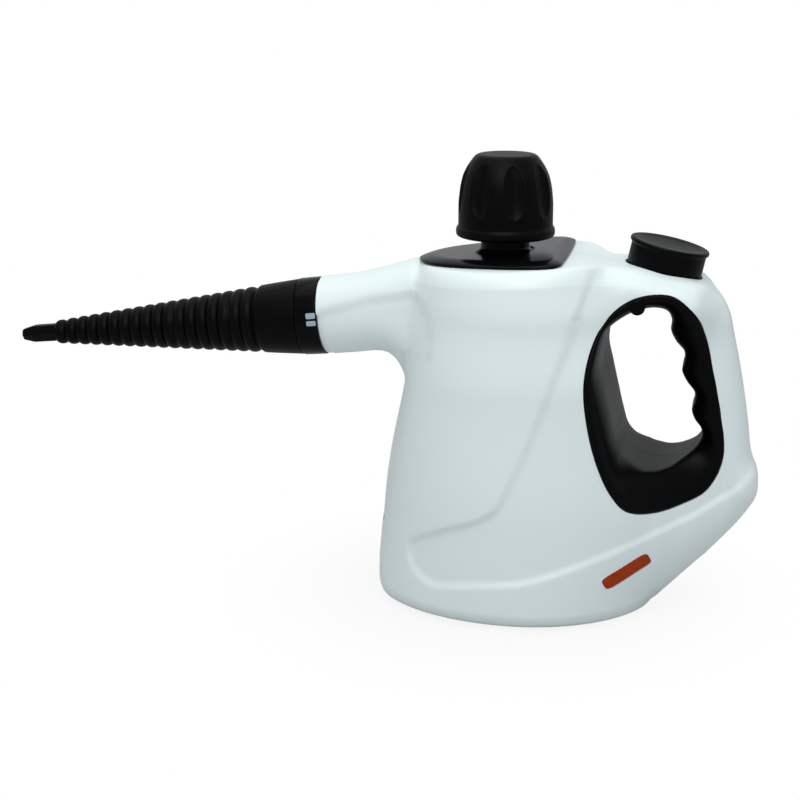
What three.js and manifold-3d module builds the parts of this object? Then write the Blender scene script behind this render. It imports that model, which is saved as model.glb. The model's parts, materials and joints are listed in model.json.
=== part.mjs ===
// A handheld steam cleaner: a white two-part body with a loop handle, a pressure boiler inside, a safety
// cap over the filler, a thumb button with its steam valve, a cross pin lock and a ribbed cone nozzle.
// Millimetres. +X points to the handle, -X to the nozzle, +Z up. The origin is the centre of the underside.
import * as THREE from "three";
import { mergeVertices } from "three/addons/utils/BufferGeometryUtils.js";
import Module from "manifold-3d";

const wasm = await Module();
wasm.setup();

// Body
const bodyLength = 206.4;
const bodyHeight = 187.5;
const bodyHalfWidth = 70;
const wall = 2.5;
const gap = 0.3;
const slack = 0.6;
const overrun = 6;
const shellBottom = 1;
const padThickness = 1.6;
const neckRadius = 21.3;
const neckTilt = 5.84;
const gripHalf = 21;
const gripRounding = 15;
const flankSlope = 0.5;
const bridgeHalf = 34;
const bridgeRounding = 14;
const podRounding = 8;
const blendWidth = 8;

// Boiler
const boilerRoom = 3.6;
const boilerWall = 3;
const boilerBottom = 20;
const boilerMiddle = 70;
const boilerHeadroom = 6.9;
const boilerFillet = 8;
const flangeWidth = 6.5;
const flangeThickness = 3.5;
const sealThickness = 0.6;
const boltRadius = 1.6;
const boltHeadRadius = 2.8;
const boltHeadHeight = 2.4;
const boltCount = 6;

// Filler and safety cap
const fillerBore = 9;
const fillerRadius = 11.5;
const fillerProud = 1.6;
const fillerFlangeRadius = 15;
const fillerFlangeHeight = 3;
const plateThickness = 3;
const plateLength = 82;
const plateHalfWidth = 47;
const collarRadius = 12.9;
const collarFlare = 3.2;
const collarHeight = 7;
const gasketThickness = 1.4;
const washerThickness = 0.8;
const coreFlangeRadius = 11.6;
const coreFlangeHeight = 2.4;
const coreShankLength = 22;
const coreStemRadius = 7;
const coreStemLength = 27;
const reliefBore = 2;
const reliefChamber = 4;
const reliefSeatDepth = 8;
const reliefPinRadius = 1.5;
const reliefDiscHeight = 2.2;
const reliefSpringLength = 21;
const reliefPlugHeight = 6;
const capSpringWire = 2.2;
const capSpringLength = 10.4;
const hubHeight = 10;
const clipThickness = 1.5;
const knobHeight = 43.6;
const knobRadius = 24.5;
const knobTravel = 3;
const knobRoof = 0.6;
const fluteCount = 8;
const fluteDepth = 3;

// Steam button and its works
const buttonRadius = 19.8;
const buttonDiscRadius = 21;
const buttonDiscHeight = 4.5;
const buttonRise = 8;
const buttonTilt = 12;
const buttonWall = 2.2;
const buttonSkirt = 1.2;
const buttonTravel = 4;
const postRadius = 4;
const postReach = 7.6;
const guideWall = 1.6;
const guideTop = 3;
const guideFloor = 1.4;
const springWire = 1.6;
const leverThickness = 3;
const leverWidth = 9;
const leverPinRadius = 1.6;
const leverPinLength = 26;
const leverHubRadius = 3.5;
const leverSlotRadius = 3.5;
const valveRadius = 6.5;
const valveBaseRadius = 8;
const valveBaseHeight = 5;
const valveHeight = 29;
const valveSeat = 12;
const valveBore = 4.6;
const valveCapHeight = 5;
const valveCapRim = 1.5;
const outletBossReach = 11.2;
const stemRadius = 2.5;
const stemCollar = 1.5;
const stemHeadRadius = 4.5;
const stemHeadHeight = 2.6;
const outletBossRadius = 4.5;
const pipeRadius = 3.2;
const pipeBore = 1.6;

// Lock pin
const lockRadius = 4;
const lockWaist = 1.6;
const lockProud = 2.6;
const lockTravel = 6;
const lockHeadLength = 12;
const lockReach = 30.5;
const lockInner = 14;
const lockChamfer = 0.8;

// Handle insert
const insertWall = 2;
const insertProud = 0.4;
const rimGap = 0.5;

// Nozzle and its socket
const ringLength = 12.5;
const ringLip = 3.5;
const ringSkirt = 10;
const ringWall = 1.5;
const lipBore = 13.8;
const spigotRadius = 5;
const spigotBore = 2.5;
const spigotReach = 4;
const spigotDisc = 2;
const spigotTail = 18;
const sealRing = 0.9;
const hubRadius = 13.4;
const hubBore = 7.3;
const hubReach = 6;
const lugHeight = 3.5;
const lugWidth = 8;
const sleeveLength = 23.4;
const sleeveEndRadius = 18.6;
const ribCount = 18;
const ribPitch = 6.61;
const ribStart = 4.6;
const ribLargeRadius = 18;
const ribSmallRadius = 6.8;
const ribDepth = 1.9;
const nozzleWall = 2.4;
const tipLength = 20.6;
const tipRadius = 5.2;
const tipEndRadius = 3.1;
const tipBore = 1.4;
const tipShank = 8;

// Electric parts, lens and fasteners
const elementInset = 16;
const elementTube = 3.6;
const thermostatRadius = 8;
const thermostatHeight = 6;
const fuseRadius = 2.4;
const fuseLength = 14;
const glandRadius = 5;
const glandBore = 3.2;
const glandFlange = 1.5;
const glandLength = 10;
const blockLength = 24;
const blockWidth = 12;
const blockHeight = 11;
const wireRadius = 1.3;
const lensLength = 24.5;
const lensHeight = 7;
const lensTilt = 27;
const lensThickness = 2.4;
const lampRadius = 2.5;
const lampLength = 8;
const screwRadius = 1.35;
const screwHeadRadius = 2.8;
const screwHeadHeight = 2;
const screwReach = 9;
const counterboreFrom = 8;
const bossRadius = 3.9;
const ribThickness = 2.5;
const mergeLimit = 0.03;

// How many steps go round the round pieces, from the small holes to the widest, and along the tubes.
const headCount = 6;
const holeCount = 8;
const barCount = 14;
const roundCount = 18;
const wideCount = 24;
const knobCount = 32;
const coneCount = 16;
const padCount = 32;
const lensCount = 28;
const rimCount = 36;
const tubeCount = 7;
const bendCount = 20;

// The body's outline on the mid-plane, from the deck's front round the handle and back to the neck,
// as shares of the body's length and height.
const outlineShares = [
  [-0.2374, 0.976], [-0.0242, 0.9915], [0.1744, 1.0059], [0.1841, 1.0066], [0.2108, 1.002],
  [0.2471, 0.9936], [0.3295, 0.9899], [0.407, 0.9739], [0.4748, 0.9552], [0.5044, 0.9381],
  [0.5257, 0.9136], [0.5446, 0.8917], [0.5562, 0.8693], [0.5659, 0.8442], [0.5732, 0.8085],
  [0.5916, 0.7205], [0.608, 0.631], [0.6221, 0.5387], [0.6342, 0.448], [0.6487, 0.4053],
  [0.655, 0.3653], [0.6507, 0.3307], [0.6347, 0.2987], [0.6061, 0.2539], [0.547, 0.1781],
  [0.4767, 0.0992], [0.4264, 0.0427], [0.4021, 0.0171], [0.3779, 0.0053], [0.19, 0.0053],
  [0, 0.0053], [-0.19, 0.0053], [-0.29, 0.0053], [-0.3198, 0.0139], [-0.3382, 0.0373],
  [-0.345, 0.0693], [-0.3421, 0.1195], [-0.3338, 0.2192], [-0.3256, 0.3179], [-0.3091, 0.44],
  [-0.2955, 0.5131], [-0.282, 0.5856], [-0.2771, 0.624], [-0.2878, 0.6571], [-0.3014, 0.6805],
  [-0.3178, 0.6949],
];
// The neck's edges: how far behind the neck's mouth, as a share of the body's length, and how far from
// its axis, as a share of its radius.
const neckTopShares = [
  [0, 1], [0.0516, 1.015], [0.1063, 1.05], [0.16, 1.125], [0.2136, 1.22], [0.258, 1.31],
];
const neckUnderShares = [[0.1465, 1.005], [0.064, 1], [0, 1]];
const neckMouthShare = [-0.4918, 0.8011];

// The pod in plan: height, half width and reach to the rear, as shares of the body's height, half width
// and length.
const podShares = [
  [0, 1, 0.354], [0.3, 1, 0.407], [0.65, 0.93, 0.368], [0.85, 0.86, 0.29], [1, 0.8, 0.237],
];
const podCentreShare = 0.05;
const podFrontShares = [-0.3525, -0.229];
const bridgeRiseShares = [0.75, 0.9];
const bridgeEndShares = [0.476, 0.56];
const neckZoneShare = -0.2;
const flankShares = [0.407, 0.562];
const flankRiseShares = [0.36, 0.5];

// The handle opening: outer rim and tunnel edge, each as shares of length and height, and how far the
// straight tunnel wall reaches from the mid-plane, as a share of the half width at the rim.
const rimShares = [
  [0.3831, 0.927, 0.3779, 0.8789, 0.47], [0.4268, 0.9216, 0.4094, 0.8704, 0.47],
  [0.469, 0.8875, 0.4205, 0.8464, 0.45], [0.4918, 0.8533, 0.4191, 0.8117, 0.42],
  [0.5029, 0.8187, 0.4327, 0.7787, 0.42], [0.5121, 0.784, 0.4535, 0.7493, 0.42],
  [0.5194, 0.7493, 0.455, 0.7227, 0.42], [0.5262, 0.712, 0.4501, 0.6923, 0.42],
  [0.5349, 0.6724, 0.4637, 0.6613, 0.42], [0.5431, 0.6291, 0.483, 0.6336, 0.42],
  [0.5494, 0.5971, 0.484, 0.6053, 0.42], [0.5538, 0.5653, 0.4787, 0.5787, 0.42],
  [0.5591, 0.536, 0.4864, 0.5547, 0.42], [0.563, 0.5013, 0.5029, 0.5307, 0.42],
  [0.563, 0.464, 0.5068, 0.5013, 0.42], [0.5504, 0.4101, 0.4942, 0.4635, 0.5],
  [0.52, 0.3627, 0.4627, 0.4331, 0.7], [0.4676, 0.3353, 0.4312, 0.4171, 0.85],
  [0.4176, 0.3211, 0.3973, 0.4139, 0.85], [0.3685, 0.3221, 0.3658, 0.4213, 0.85],
  [0.3273, 0.3407, 0.3343, 0.4373, 0.72], [0.2932, 0.388, 0.3033, 0.4736, 0.56],
  [0.266, 0.4491, 0.2849, 0.5227, 0.5], [0.2398, 0.5397, 0.2703, 0.576, 0.49],
  [0.2233, 0.6425, 0.2529, 0.6507, 0.49], [0.2214, 0.7131, 0.2384, 0.72, 0.49],
  [0.234, 0.7899, 0.2452, 0.7829, 0.5], [0.2563, 0.8464, 0.2664, 0.824, 0.52],
  [0.29, 0.8874, 0.3028, 0.8533, 0.5], [0.3331, 0.9153, 0.3391, 0.8714, 0.5],
];

// The deck plate in plan, one side: along the plate from its tip and out from the middle, as shares.
const plateShares = [
  [0, 0], [0.012, 0.12], [0.04, 0.27], [0.085, 0.4], [0.16, 0.54], [0.35, 0.74], [0.6, 0.92],
  [0.74, 0.98], [0.88, 1], [0.95, 0.96], [0.985, 0.86], [0.995, 0.6], [1, 0],
];

// The knob's side: height from its lip to its top, and radius, as shares.
const knobSideShares = [
  [0, 0.965], [0.035, 1.057], [0.095, 1.057], [0.14, 1.005], [0.24, 1], [0.4, 1], [0.5, 0.988],
  [0.62, 0.963], [0.74, 0.91], [0.825, 0.845], [0.9, 0.767], [0.947, 0.714], [0.98, 0.665], [1, 0.6],
];
const fluteZoneShares = [0.2, 0.92];
const fluteWidthShare = 0.62;
const fluteEndShare = 0.6;
const flutePhaseShare = 0.4;

// Screw places on the mid-plane, and the pipe's and wires' routes, as shares of length and height.
const screwShares = [
  [-0.3, 0.931], [-0.2544, 0.576], [-0.291, 0.064], [0.3585, 0.064], [0.591, 0.352], [0.5175, 0.884],
];
const capShare = -0.0145;
const valveShare = 0.121;
const pivotShare = 0.2422;
const lockShares = [0.3377, 0.8917];
const buttonShares = [0.3949, 0.9792];
const lensShares = [0.3375, 0.1587];
const lensCornerShares = [0.35, 0.6];
const glandShares = [0.5239, 0.151];
const blockSideShare = -0.0727;
const padCentreShare = 0.02;
const padShares = [0.29, 0.69];
const boilerRibShare = 0.715;
const cupBendShare = 0.3;
const pinReachShare = 0.8;
const buttonEdgeShare = 0.2;
const tipStraightShare = 0.75;

const materials = {
  white: new THREE.MeshStandardMaterial({ color: 0xe6eeee, roughness: 0.38, metalness: 0 }),
  black: new THREE.MeshStandardMaterial({ color: 0x0c0c10, roughness: 0.42, metalness: 0 }),
  gloss: new THREE.MeshStandardMaterial({ color: 0x060608, roughness: 0.12, metalness: 0 }),
  rubber: new THREE.MeshStandardMaterial({ color: 0x1a1a1c, roughness: 0.85, metalness: 0 }),
  brass: new THREE.MeshStandardMaterial({ color: 0xb08d3e, roughness: 0.35, metalness: 1 }),
  alloy: new THREE.MeshStandardMaterial({ color: 0xa9adb0, roughness: 0.45, metalness: 1 }),
  steel: new THREE.MeshStandardMaterial({ color: 0x8f9499, roughness: 0.3, metalness: 1 }),
  amber: new THREE.MeshStandardMaterial({ color: 0xa03810, roughness: 0.25, metalness: 0 }),
  ceramic: new THREE.MeshStandardMaterial({ color: 0xd8d2c4, roughness: 0.6, metalness: 0 }),
  wireBrown: new THREE.MeshStandardMaterial({ color: 0x5a3018, roughness: 0.6, metalness: 0 }),
  wireBlue: new THREE.MeshStandardMaterial({ color: 0x1c4f9a, roughness: 0.6, metalness: 0 }),
};

const turn = 2 * Math.PI;
const radians = THREE.MathUtils.degToRad;

// A closed geometry as a solid, turned the right way out.
function solid(geometry) {
  const bare = geometry.clone();
  bare.deleteAttribute("normal");
  bare.deleteAttribute("uv");
  const merged = mergeVertices(bare, 1e-4);
  const triVerts = new Uint32Array(merged.index.array);
  const vertProperties = merged.attributes.position.array;
  const made = new wasm.Manifold(new wasm.Mesh({ numProp: 3, vertProperties, triVerts }));
  if (made.volume() > 0) return made;
  for (let i = 0; i < triVerts.length; i += 3) {
    [triVerts[i + 1], triVerts[i + 2]] = [triVerts[i + 2], triVerts[i + 1]];
  }
  return new wasm.Manifold(new wasm.Mesh({ numProp: 3, vertProperties, triVerts }));
}

function geometryOf(body) {
  const mesh = body.asOriginal().simplify(mergeLimit).getMesh();
  const made = new THREE.BufferGeometry();
  made.setAttribute("position", new THREE.BufferAttribute(mesh.vertProperties, 3));
  made.setIndex(new THREE.BufferAttribute(mesh.triVerts, 1));
  return made;
}

// A round piece about +Z from a closed profile of [radius, height] pairs.
function lathe(profile, stepCount = roundCount) {
  const points = profile.map(([radius, height]) => new THREE.Vector2(radius, height));
  if (profile[0][0] > 0 || profile.at(-1)[0] > 0) points.push(points[0].clone());
  return new THREE.LatheGeometry(points, stepCount).rotateX(turn / 4);
}

// A ring or disc about +Z between two heights.
function ring(outer, inner, low, high, stepCount = roundCount) {
  return lathe([[inner, low], [outer, low], [outer, high], [inner, high]], stepCount);
}

// A plate of an [x, y] outline, from the height low to the height high.
function slab(points, low, high) {
  const shape = new THREE.Shape(points.map(([x, y]) => new THREE.Vector2(x, y)));
  const made = new THREE.ExtrudeGeometry(shape, { depth: high - low, bevelEnabled: false });
  return made.translate(0, 0, low);
}

// A prism of an [x, z] outline, from one y to a larger one.
function sidePrism(points, nearY, farY) {
  return slab(points, -farY, -nearY).rotateX(turn / 4);
}

// A round bar along Y at a place on the mid-plane.
function crossBar(x, z, radius, nearY, farY, stepCount = barCount) {
  const bar = new THREE.CylinderGeometry(radius, radius, farY - nearY, stepCount);
  return bar.translate(x, (nearY + farY) / 2, z);
}

function box(low, high) {
  const size = high.map((value, i) => value - low[i]);
  return new THREE.BoxGeometry(...size).translate(...low.map((value, i) => value + size[i] / 2));
}

// A solid skin over rings of points that are joined in turn; the last ring meets the first, or both
// ends are closed.
function ringsSolid(rings, looped) {
  const count = rings[0].length;
  const vertices = rings.flat().flatMap((p) => [p.x, p.y, p.z]);
  const faces = [];
  const spans = looped ? rings.length : rings.length - 1;
  for (let i = 0; i < spans; i++) {
    for (let j = 0; j < count; j++) {
      const a = i * count + j;
      const b = i * count + ((j + 1) % count);
      const c = ((i + 1) % rings.length) * count + ((j + 1) % count);
      const d = ((i + 1) % rings.length) * count + j;
      faces.push(a, b, c, a, c, d);
    }
  }
  if (!looped) {
    const ends = [[rings[0], 0, true], [rings.at(-1), (rings.length - 1) * count, false]];
    ends.forEach(([points, from, first]) => {
      const centre = new THREE.Vector3();
      points.forEach((p) => centre.addScaledVector(p, 1 / count));
      const tip = vertices.length / 3;
      vertices.push(centre.x, centre.y, centre.z);
      for (let j = 0; j < count; j++) {
        const pair = [from + j, from + ((j + 1) % count)];
        faces.push(tip, ...(first ? pair.reverse() : pair));
      }
    });
  }
  const made = new THREE.BufferGeometry();
  made.setAttribute("position", new THREE.Float32BufferAttribute(vertices, 3));
  made.setIndex(faces);
  return made;
}

// A tube of a round section along points.
function tube(points, radius, stepCount) {
  const path = new THREE.CatmullRomCurve3(points, false, "centripetal");
  const section = new THREE.Shape();
  for (let i = 0; i < tubeCount; i++) {
    const angle = (turn * i) / tubeCount;
    section[i ? "lineTo" : "moveTo"](radius * Math.cos(angle), radius * Math.sin(angle));
  }
  return new THREE.ExtrudeGeometry(section, { steps: stepCount, extrudePath: path, bevelEnabled: false });
}

const lengthwise = (share) => share * bodyLength;
const upward = (share) => share * bodyHeight;
const smooth = (from, to, value) => THREE.MathUtils.smoothstep(value, from, to);
const arc = (share) => Math.sqrt(1 - (1 - THREE.MathUtils.clamp(share, 0, 1)) ** 2);

// The value of a table's column at a place between its rows.
function between(rows, place, column) {
  const after = rows.findIndex((row) => row[0] >= place);
  if (after === 0) return rows[0][column];
  if (after < 0) return rows.at(-1)[column];
  const [low, high] = [rows[after - 1], rows[after]];
  const share = (place - low[0]) / (high[0] - low[0]);
  return low[column] + (high[column] - low[column]) * smooth(0, 1, share);
}

// The neck's frame: local +Z runs out of the mouth, towards the tip, and local +X up.
const mouth = new THREE.Vector3(lengthwise(neckMouthShare[0]), 0, upward(neckMouthShare[1]));
const neckTurn = new THREE.Matrix4().makeRotationY(-turn / 4 - radians(neckTilt));
const neckFrame = new THREE.Matrix4().makeTranslation(mouth).multiply(neckTurn);

function neckEdge([back, out], side) {
  const local = new THREE.Vector3(side * out * neckRadius, 0, -lengthwise(back));
  const placed = local.applyMatrix4(neckFrame);
  return [placed.x, placed.z];
}

// The outline as one run of points, from the mouth's top edge to its under edge.
const outlineStep = 8.2;
const outlineRun = (() => {
  const fixed = outlineShares.map(([x, z]) => [lengthwise(x), upward(z)]);
  const top = neckTopShares.map((row) => neckEdge(row, 1));
  const under = neckUnderShares.map((row) => neckEdge(row, -1));
  const places = [...top, ...fixed, ...under].map(([x, z]) => new THREE.Vector3(x, 0, z));
  const curve = new THREE.CatmullRomCurve3(places, false, "centripetal");
  curve.arcLengthDivisions = places.length * 12;
  const count = Math.round(curve.getLength() / outlineStep);
  return curve.getSpacedPoints(count).map((p) => [p.x, Math.max(p.z, shellBottom)]);
})();

// The run with each end carried on along the neck, so that the mouth itself counts as no edge.
const edgeRun = (() => {
  const [dx, , dz] = new THREE.Vector3(0, 0, 1).transformDirection(neckFrame).toArray();
  const ahead = ([x, z]) => [x + dx * neckRadius * 2, z + dz * neckRadius * 2];
  return [ahead(outlineRun[0]), ...outlineRun, ahead(outlineRun.at(-1))];
})();

// How far a place on the mid-plane lies from the nearest edge of the outline.
function edgeDistance(x, z) {
  let nearest = Infinity;
  for (let i = 1; i < edgeRun.length; i++) {
    const [ax, az] = edgeRun[i - 1];
    const [bx, bz] = edgeRun[i];
    const [dx, dz] = [bx - ax, bz - az];
    const along = ((x - ax) * dx + (z - az) * dz) / (dx * dx + dz * dz || 1);
    const share = THREE.MathUtils.clamp(along, 0, 1);
    nearest = Math.min(nearest, Math.hypot(x - ax - share * dx, z - az - share * dz));
  }
  return nearest;
}

// The body's half width at a place on the mid-plane: an egg-shaped pod, and an arm that is the neck,
// the bridge under the button and the grip, each rounded over at the outline and blended together.
function halfWidth(x, z, inset) {
  const depth = Math.max(edgeDistance(x, z) - inset, 0);
  const rise = z / bodyHeight;
  const centre = lengthwise(podCentreShare);
  const front = lengthwise(podFrontShares[0] + (podFrontShares[1] - podFrontShares[0]) * rise);
  const reach = (x < centre ? centre - front : lengthwise(between(podShares, rise, 2))) - inset;
  const width = bodyHalfWidth * between(podShares, rise, 1) - inset;
  const away = Math.abs(x - centre) / reach;
  const full = away < 1 ? width * Math.sqrt(1 - away * away) : width * (1 - away) * 2;
  const podRound = podRounding - inset;
  const pod = full - podRound * (1 - arc(depth / podRound));
  const toBridge = smooth(...bridgeRiseShares, rise) * (1 - smooth(...bridgeEndShares, x / bodyLength));
  const inNeck = 1 - smooth(neckZoneShare, 0, x / bodyLength);
  const before = flankShares[1] - THREE.MathUtils.clamp(x / bodyLength, ...flankShares);
  const flank = flankSlope * lengthwise(before) * (1 - smooth(...flankRiseShares, rise));
  const armHalf = THREE.MathUtils.lerp(
    THREE.MathUtils.lerp(gripHalf + flank, bridgeHalf, toBridge), neckRadius, inNeck);
  const armRound = THREE.MathUtils.lerp(
    THREE.MathUtils.lerp(gripRounding + flank, bridgeRounding, toBridge), neckRadius, inNeck) - inset;
  const arm = armHalf - inset - armRound * (1 - arc(depth / armRound));
  const blend = blendWidth * Math.min(1, depth / podRounding);
  const joined = (pod + arm + Math.hypot(pod - arm, blend)) / 2;
  return Math.max(joined, gap);
}

// Triangles of a flat region with points inside it: each inner point is put in, then edges are flipped
// until no triangle's circle holds a neighbour's point.
function regionTriangles(contour, inner) {
  const points = [...contour, ...inner];
  const flat = contour.map(([x, z]) => new THREE.Vector2(x, z));
  const cross = (a, b, c) => (points[b][0] - points[a][0]) * (points[c][1] - points[a][1]) -
    (points[b][1] - points[a][1]) * (points[c][0] - points[a][0]);
  const facing = ([a, b, c]) => (cross(a, b, c) < 0 ? [a, c, b] : [a, b, c]);
  const triangles = THREE.ShapeUtils.triangulateShape(flat, []).map(facing);
  for (let i = contour.length; i < points.length; i++) {
    const at = triangles.findIndex(([a, b, c]) =>
      cross(a, b, i) >= 0 && cross(b, c, i) >= 0 && cross(c, a, i) >= 0);
    if (at < 0) continue;
    const [a, b, c] = triangles[at];
    triangles.splice(at, 1, [a, b, i], [b, c, i], [c, a, i]);
  }
  const inCircle = (a, b, c, d) => {
    const rows = [a, b, c].map((k) => {
      const [x, z] = [points[k][0] - points[d][0], points[k][1] - points[d][1]];
      return [x, z, x * x + z * z];
    });
    const [p, q, r] = rows;
    return p[0] * (q[1] * r[2] - q[2] * r[1]) - p[1] * (q[0] * r[2] - q[2] * r[0]) +
      p[2] * (q[0] * r[1] - q[1] * r[0]) > 1e-7;
  };
  const isEdge = (a, b) => a < contour.length && b < contour.length &&
    [1, contour.length - 1].includes(Math.abs(a - b));
  for (let changed = true, sweeps = 0; changed && sweeps < 200; sweeps++) {
    changed = false;
    const owners = new Map();
    const used = new Set();
    for (let t = 0; t < triangles.length; t++) {
      for (let k = 0; k < 3; k++) {
        const [a, b, c] = [0, 1, 2].map((s) => triangles[t][(k + s) % 3]);
        if (isEdge(a, b) || used.has(t)) continue;
        const key = Math.min(a, b) * points.length + Math.max(a, b);
        if (!owners.has(key)) {
          owners.set(key, [t, c]);
          continue;
        }
        const [other, d] = owners.get(key);
        if (used.has(other) || !inCircle(a, b, c, d)) continue;
        if (cross(a, d, c) <= 0 || cross(d, b, c) <= 0) continue;
        triangles[t] = [a, d, c];
        triangles[other] = [d, b, c];
        used.add(t).add(other);
        changed = true;
      }
    }
  }
  return triangles;
}

// The outline moved inwards, with the mouth carried ahead.
function insetContour(inset, ahead) {
  const moved = outlineRun.map(([x, z], i) => {
    const [ax, az] = outlineRun[Math.max(i - 1, 0)];
    const [bx, bz] = outlineRun[Math.min(i + 1, outlineRun.length - 1)];
    const length = Math.hypot(bx - ax, bz - az);
    return [x + ((bz - az) / length) * inset, z - ((bx - ax) / length) * inset];
  });
  const [dx, , dz] = new THREE.Vector3(0, 0, 1).transformDirection(neckFrame).toArray();
  const carried = ([x, z]) => [x + dx * ahead, z + dz * ahead];
  return ahead ? [carried(moved[0]), ...moved, carried(moved.at(-1))] : moved;
}

// Rows of points across the mouth and along the neck, as shares of its width from its under edge.
const acrossShares = [0.03, 0.11, 0.23, 0.36, 0.5, 0.64, 0.77, 0.89, 0.97];
const neckRowShares = [0.3, 0.5, 0.7];
const neckRowCount = 8;

function mouthPoints(contour) {
  const [top, under] = [contour[0], contour.at(-1)];
  return acrossShares.map((share) => [
    under[0] + (top[0] - under[0]) * share, under[1] + (top[1] - under[1]) * share,
  ]);
}

function neckPoints() {
  return neckRowShares.flatMap((share) => Array.from({ length: neckRowCount }, (_, i) => {
    const back = -outlineStep * (i + 1 / 2);
    const local = new THREE.Vector3((share * 2 - 1) * neckRadius, 0, back);
    return local.applyMatrix4(neckFrame);
  })).map((p) => [p.x, p.z]);
}

const bandOffsets = [1.5, 6.5];
const hollowOffsets = [4];
const innerStep = 17;
const hollowStep = 25;

// One side of the body as a solid, inset all round by a distance, from the surface to the plane y = back.
// Its surface has rows of points that follow the outline, then a grid.
function sideSolid(inset, ahead, back, offsets, gridStep) {
  const contour = insetContour(inset, ahead);
  contour.push(...mouthPoints(contour));
  const flat = contour.map(([x, z]) => new THREE.Vector2(x, z));
  if (THREE.ShapeUtils.area(flat) < 0) contour.reverse();
  const inner = neckPoints();
  const clear = ([x, z], need) => inner.every(([a, b]) => Math.hypot(a - x, b - z) > need);
  const bandStep = outlineStep * 0.55;
  offsets.forEach((offset, i) => {
    insetContour(inset + offset, 0).slice(1, -1).forEach((place) => {
      const depth = edgeDistance(...place) - inset;
      if (depth > offset * 0.9 && clear(place, i ? bandStep : offset)) inner.push(place);
    });
  });
  const rows = Math.ceil(bodyHeight / gridStep);
  const columns = Math.ceil((bodyLength * 1.3) / gridStep);
  for (let j = 0; j < rows; j++) {
    for (let i = 0; i < columns; i++) {
      const place = [mouth.x + (i + (j % 2) / 2) * gridStep, shellBottom + (j + 0.5) * gridStep];
      const inside = pointInside(contour, place);
      const deep = edgeDistance(...place) - inset > offsets.at(-1) + gridStep * 0.35;
      if (inside && deep && clear(place, gridStep * 0.6)) inner.push(place);
    }
  }
  const points = [...contour, ...inner];
  const triangles = regionTriangles(contour, inner);
  const vertices = [
    ...points.flatMap(([x, z]) => [x, -halfWidth(x, z, inset), z]),
    ...points.flatMap(([x, z]) => [x, back, z]),
  ];
  const faces = triangles.flatMap(([a, b, c]) => [
    a, b, c, a + points.length, c + points.length, b + points.length,
  ]);
  for (let i = 0; i < contour.length; i++) {
    const next = (i + 1) % contour.length;
    faces.push(next, i, i + points.length, next, i + points.length, next + points.length);
  }
  const made = new THREE.BufferGeometry();
  made.setAttribute("position", new THREE.Float32BufferAttribute(vertices, 3));
  made.setIndex(faces);
  return solid(made);
}

function pointInside(contour, [x, z]) {
  let inside = false;
  contour.forEach(([ax, az], i) => {
    const [bx, bz] = contour[(i + 1) % contour.length];
    if (az > z !== bz > z && x < ((bx - ax) * (z - az)) / (bz - az) + ax) inside = !inside;
  });
  return inside;
}

function mirrored(geometry) {
  return solid(geometry.clone().scale(1, -1, 1));
}

function placed(geometry, frame) {
  return geometry.clone().applyMatrix4(frame);
}

function joinedWith(body, shapes) {
  return shapes.reduce((whole, shape) => whole.add(solid(shape)), body);
}

function cutWith(body, shapes) {
  return shapes.reduce((whole, shape) => whole.subtract(solid(shape)), body);
}

// Places that several pieces share
const capX = lengthwise(capShare);
const valveX = lengthwise(valveShare);
const pivotX = lengthwise(pivotShare);
const lockX = lengthwise(lockShares[0]);
const lockZ = upward(lockShares[1]);
const lensX = lengthwise(lensShares[0]);
const lensZ = upward(lensShares[1]);
const screwPlaces = screwShares.map(([x, z]) => [lengthwise(x), upward(z)]);
const neckInner = neckRadius - wall;
const floorTop = shellBottom + wall;

const buttonFrame = new THREE.Matrix4()
  .makeTranslation(lengthwise(buttonShares[0]), 0, upward(buttonShares[1]))
  .multiply(new THREE.Matrix4().makeRotationY(radians(buttonTilt)));

// The button's post ends just over the lever at rest.
const postTip = new THREE.Vector3(0, 0, -postReach).applyMatrix4(buttonFrame);
const leverTop = postTip.z - postRadius * Math.sin(radians(buttonTilt)) - gap;
const pivotZ = leverTop - leverThickness / 2;

const deckStart = outlineShares[0];
const deckEnd = outlineShares[3];
const deckSlope = Math.atan2(
  upward(deckEnd[1]) - upward(deckStart[1]), lengthwise(deckEnd[0]) - lengthwise(deckStart[0]));
const deckFrame = new THREE.Matrix4()
  .makeTranslation(lengthwise(deckStart[0]), 0, upward(deckStart[1]) + gap)
  .multiply(new THREE.Matrix4().makeRotationY(-deckSlope));

// The plate's top at the cap carries the filler's rim a little above it, and the boiler's top lies under
// the neck.
const plateTopZ = upward(deckStart[1]) + gap + plateThickness +
  Math.tan(deckSlope) * (capX - lengthwise(deckStart[0]));
const fillerTop = plateTopZ + fillerProud;
const boilerTop = mouth.z - neckRadius - boilerHeadroom;

// The boiler fills the room behind the boss of the second screw.
const boilerRadius = capX - screwPlaces[1][0] - bossRadius - boilerRoom;
const flangeRadius = boilerRadius + flangeWidth;
const elementRadius = boilerRadius - elementInset;

// The tail's sloping underside: its direction gives the gland's axis, local +Z pointing out.
const tailLow = outlineShares[25];
const tailHigh = outlineShares[24];
const tailSlope = Math.atan2(
  upward(tailHigh[1]) - upward(tailLow[1]), lengthwise(tailHigh[0]) - lengthwise(tailLow[0]));
const glandFrame = new THREE.Matrix4()
  .makeTranslation(lengthwise(glandShares[0]), 0, upward(glandShares[1]))
  .multiply(new THREE.Matrix4().makeRotationY(turn / 2 - tailSlope));

function padOutline(margin) {
  const [long, wide] = [bodyLength * padShares[0] + margin, bodyHalfWidth * padShares[1] + margin];
  return Array.from({ length: padCount }, (_, i) => [
    lengthwise(padCentreShare) + long * Math.cos((turn * i) / padCount),
    wide * Math.sin((turn * i) / padCount),
  ]);
}

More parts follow.
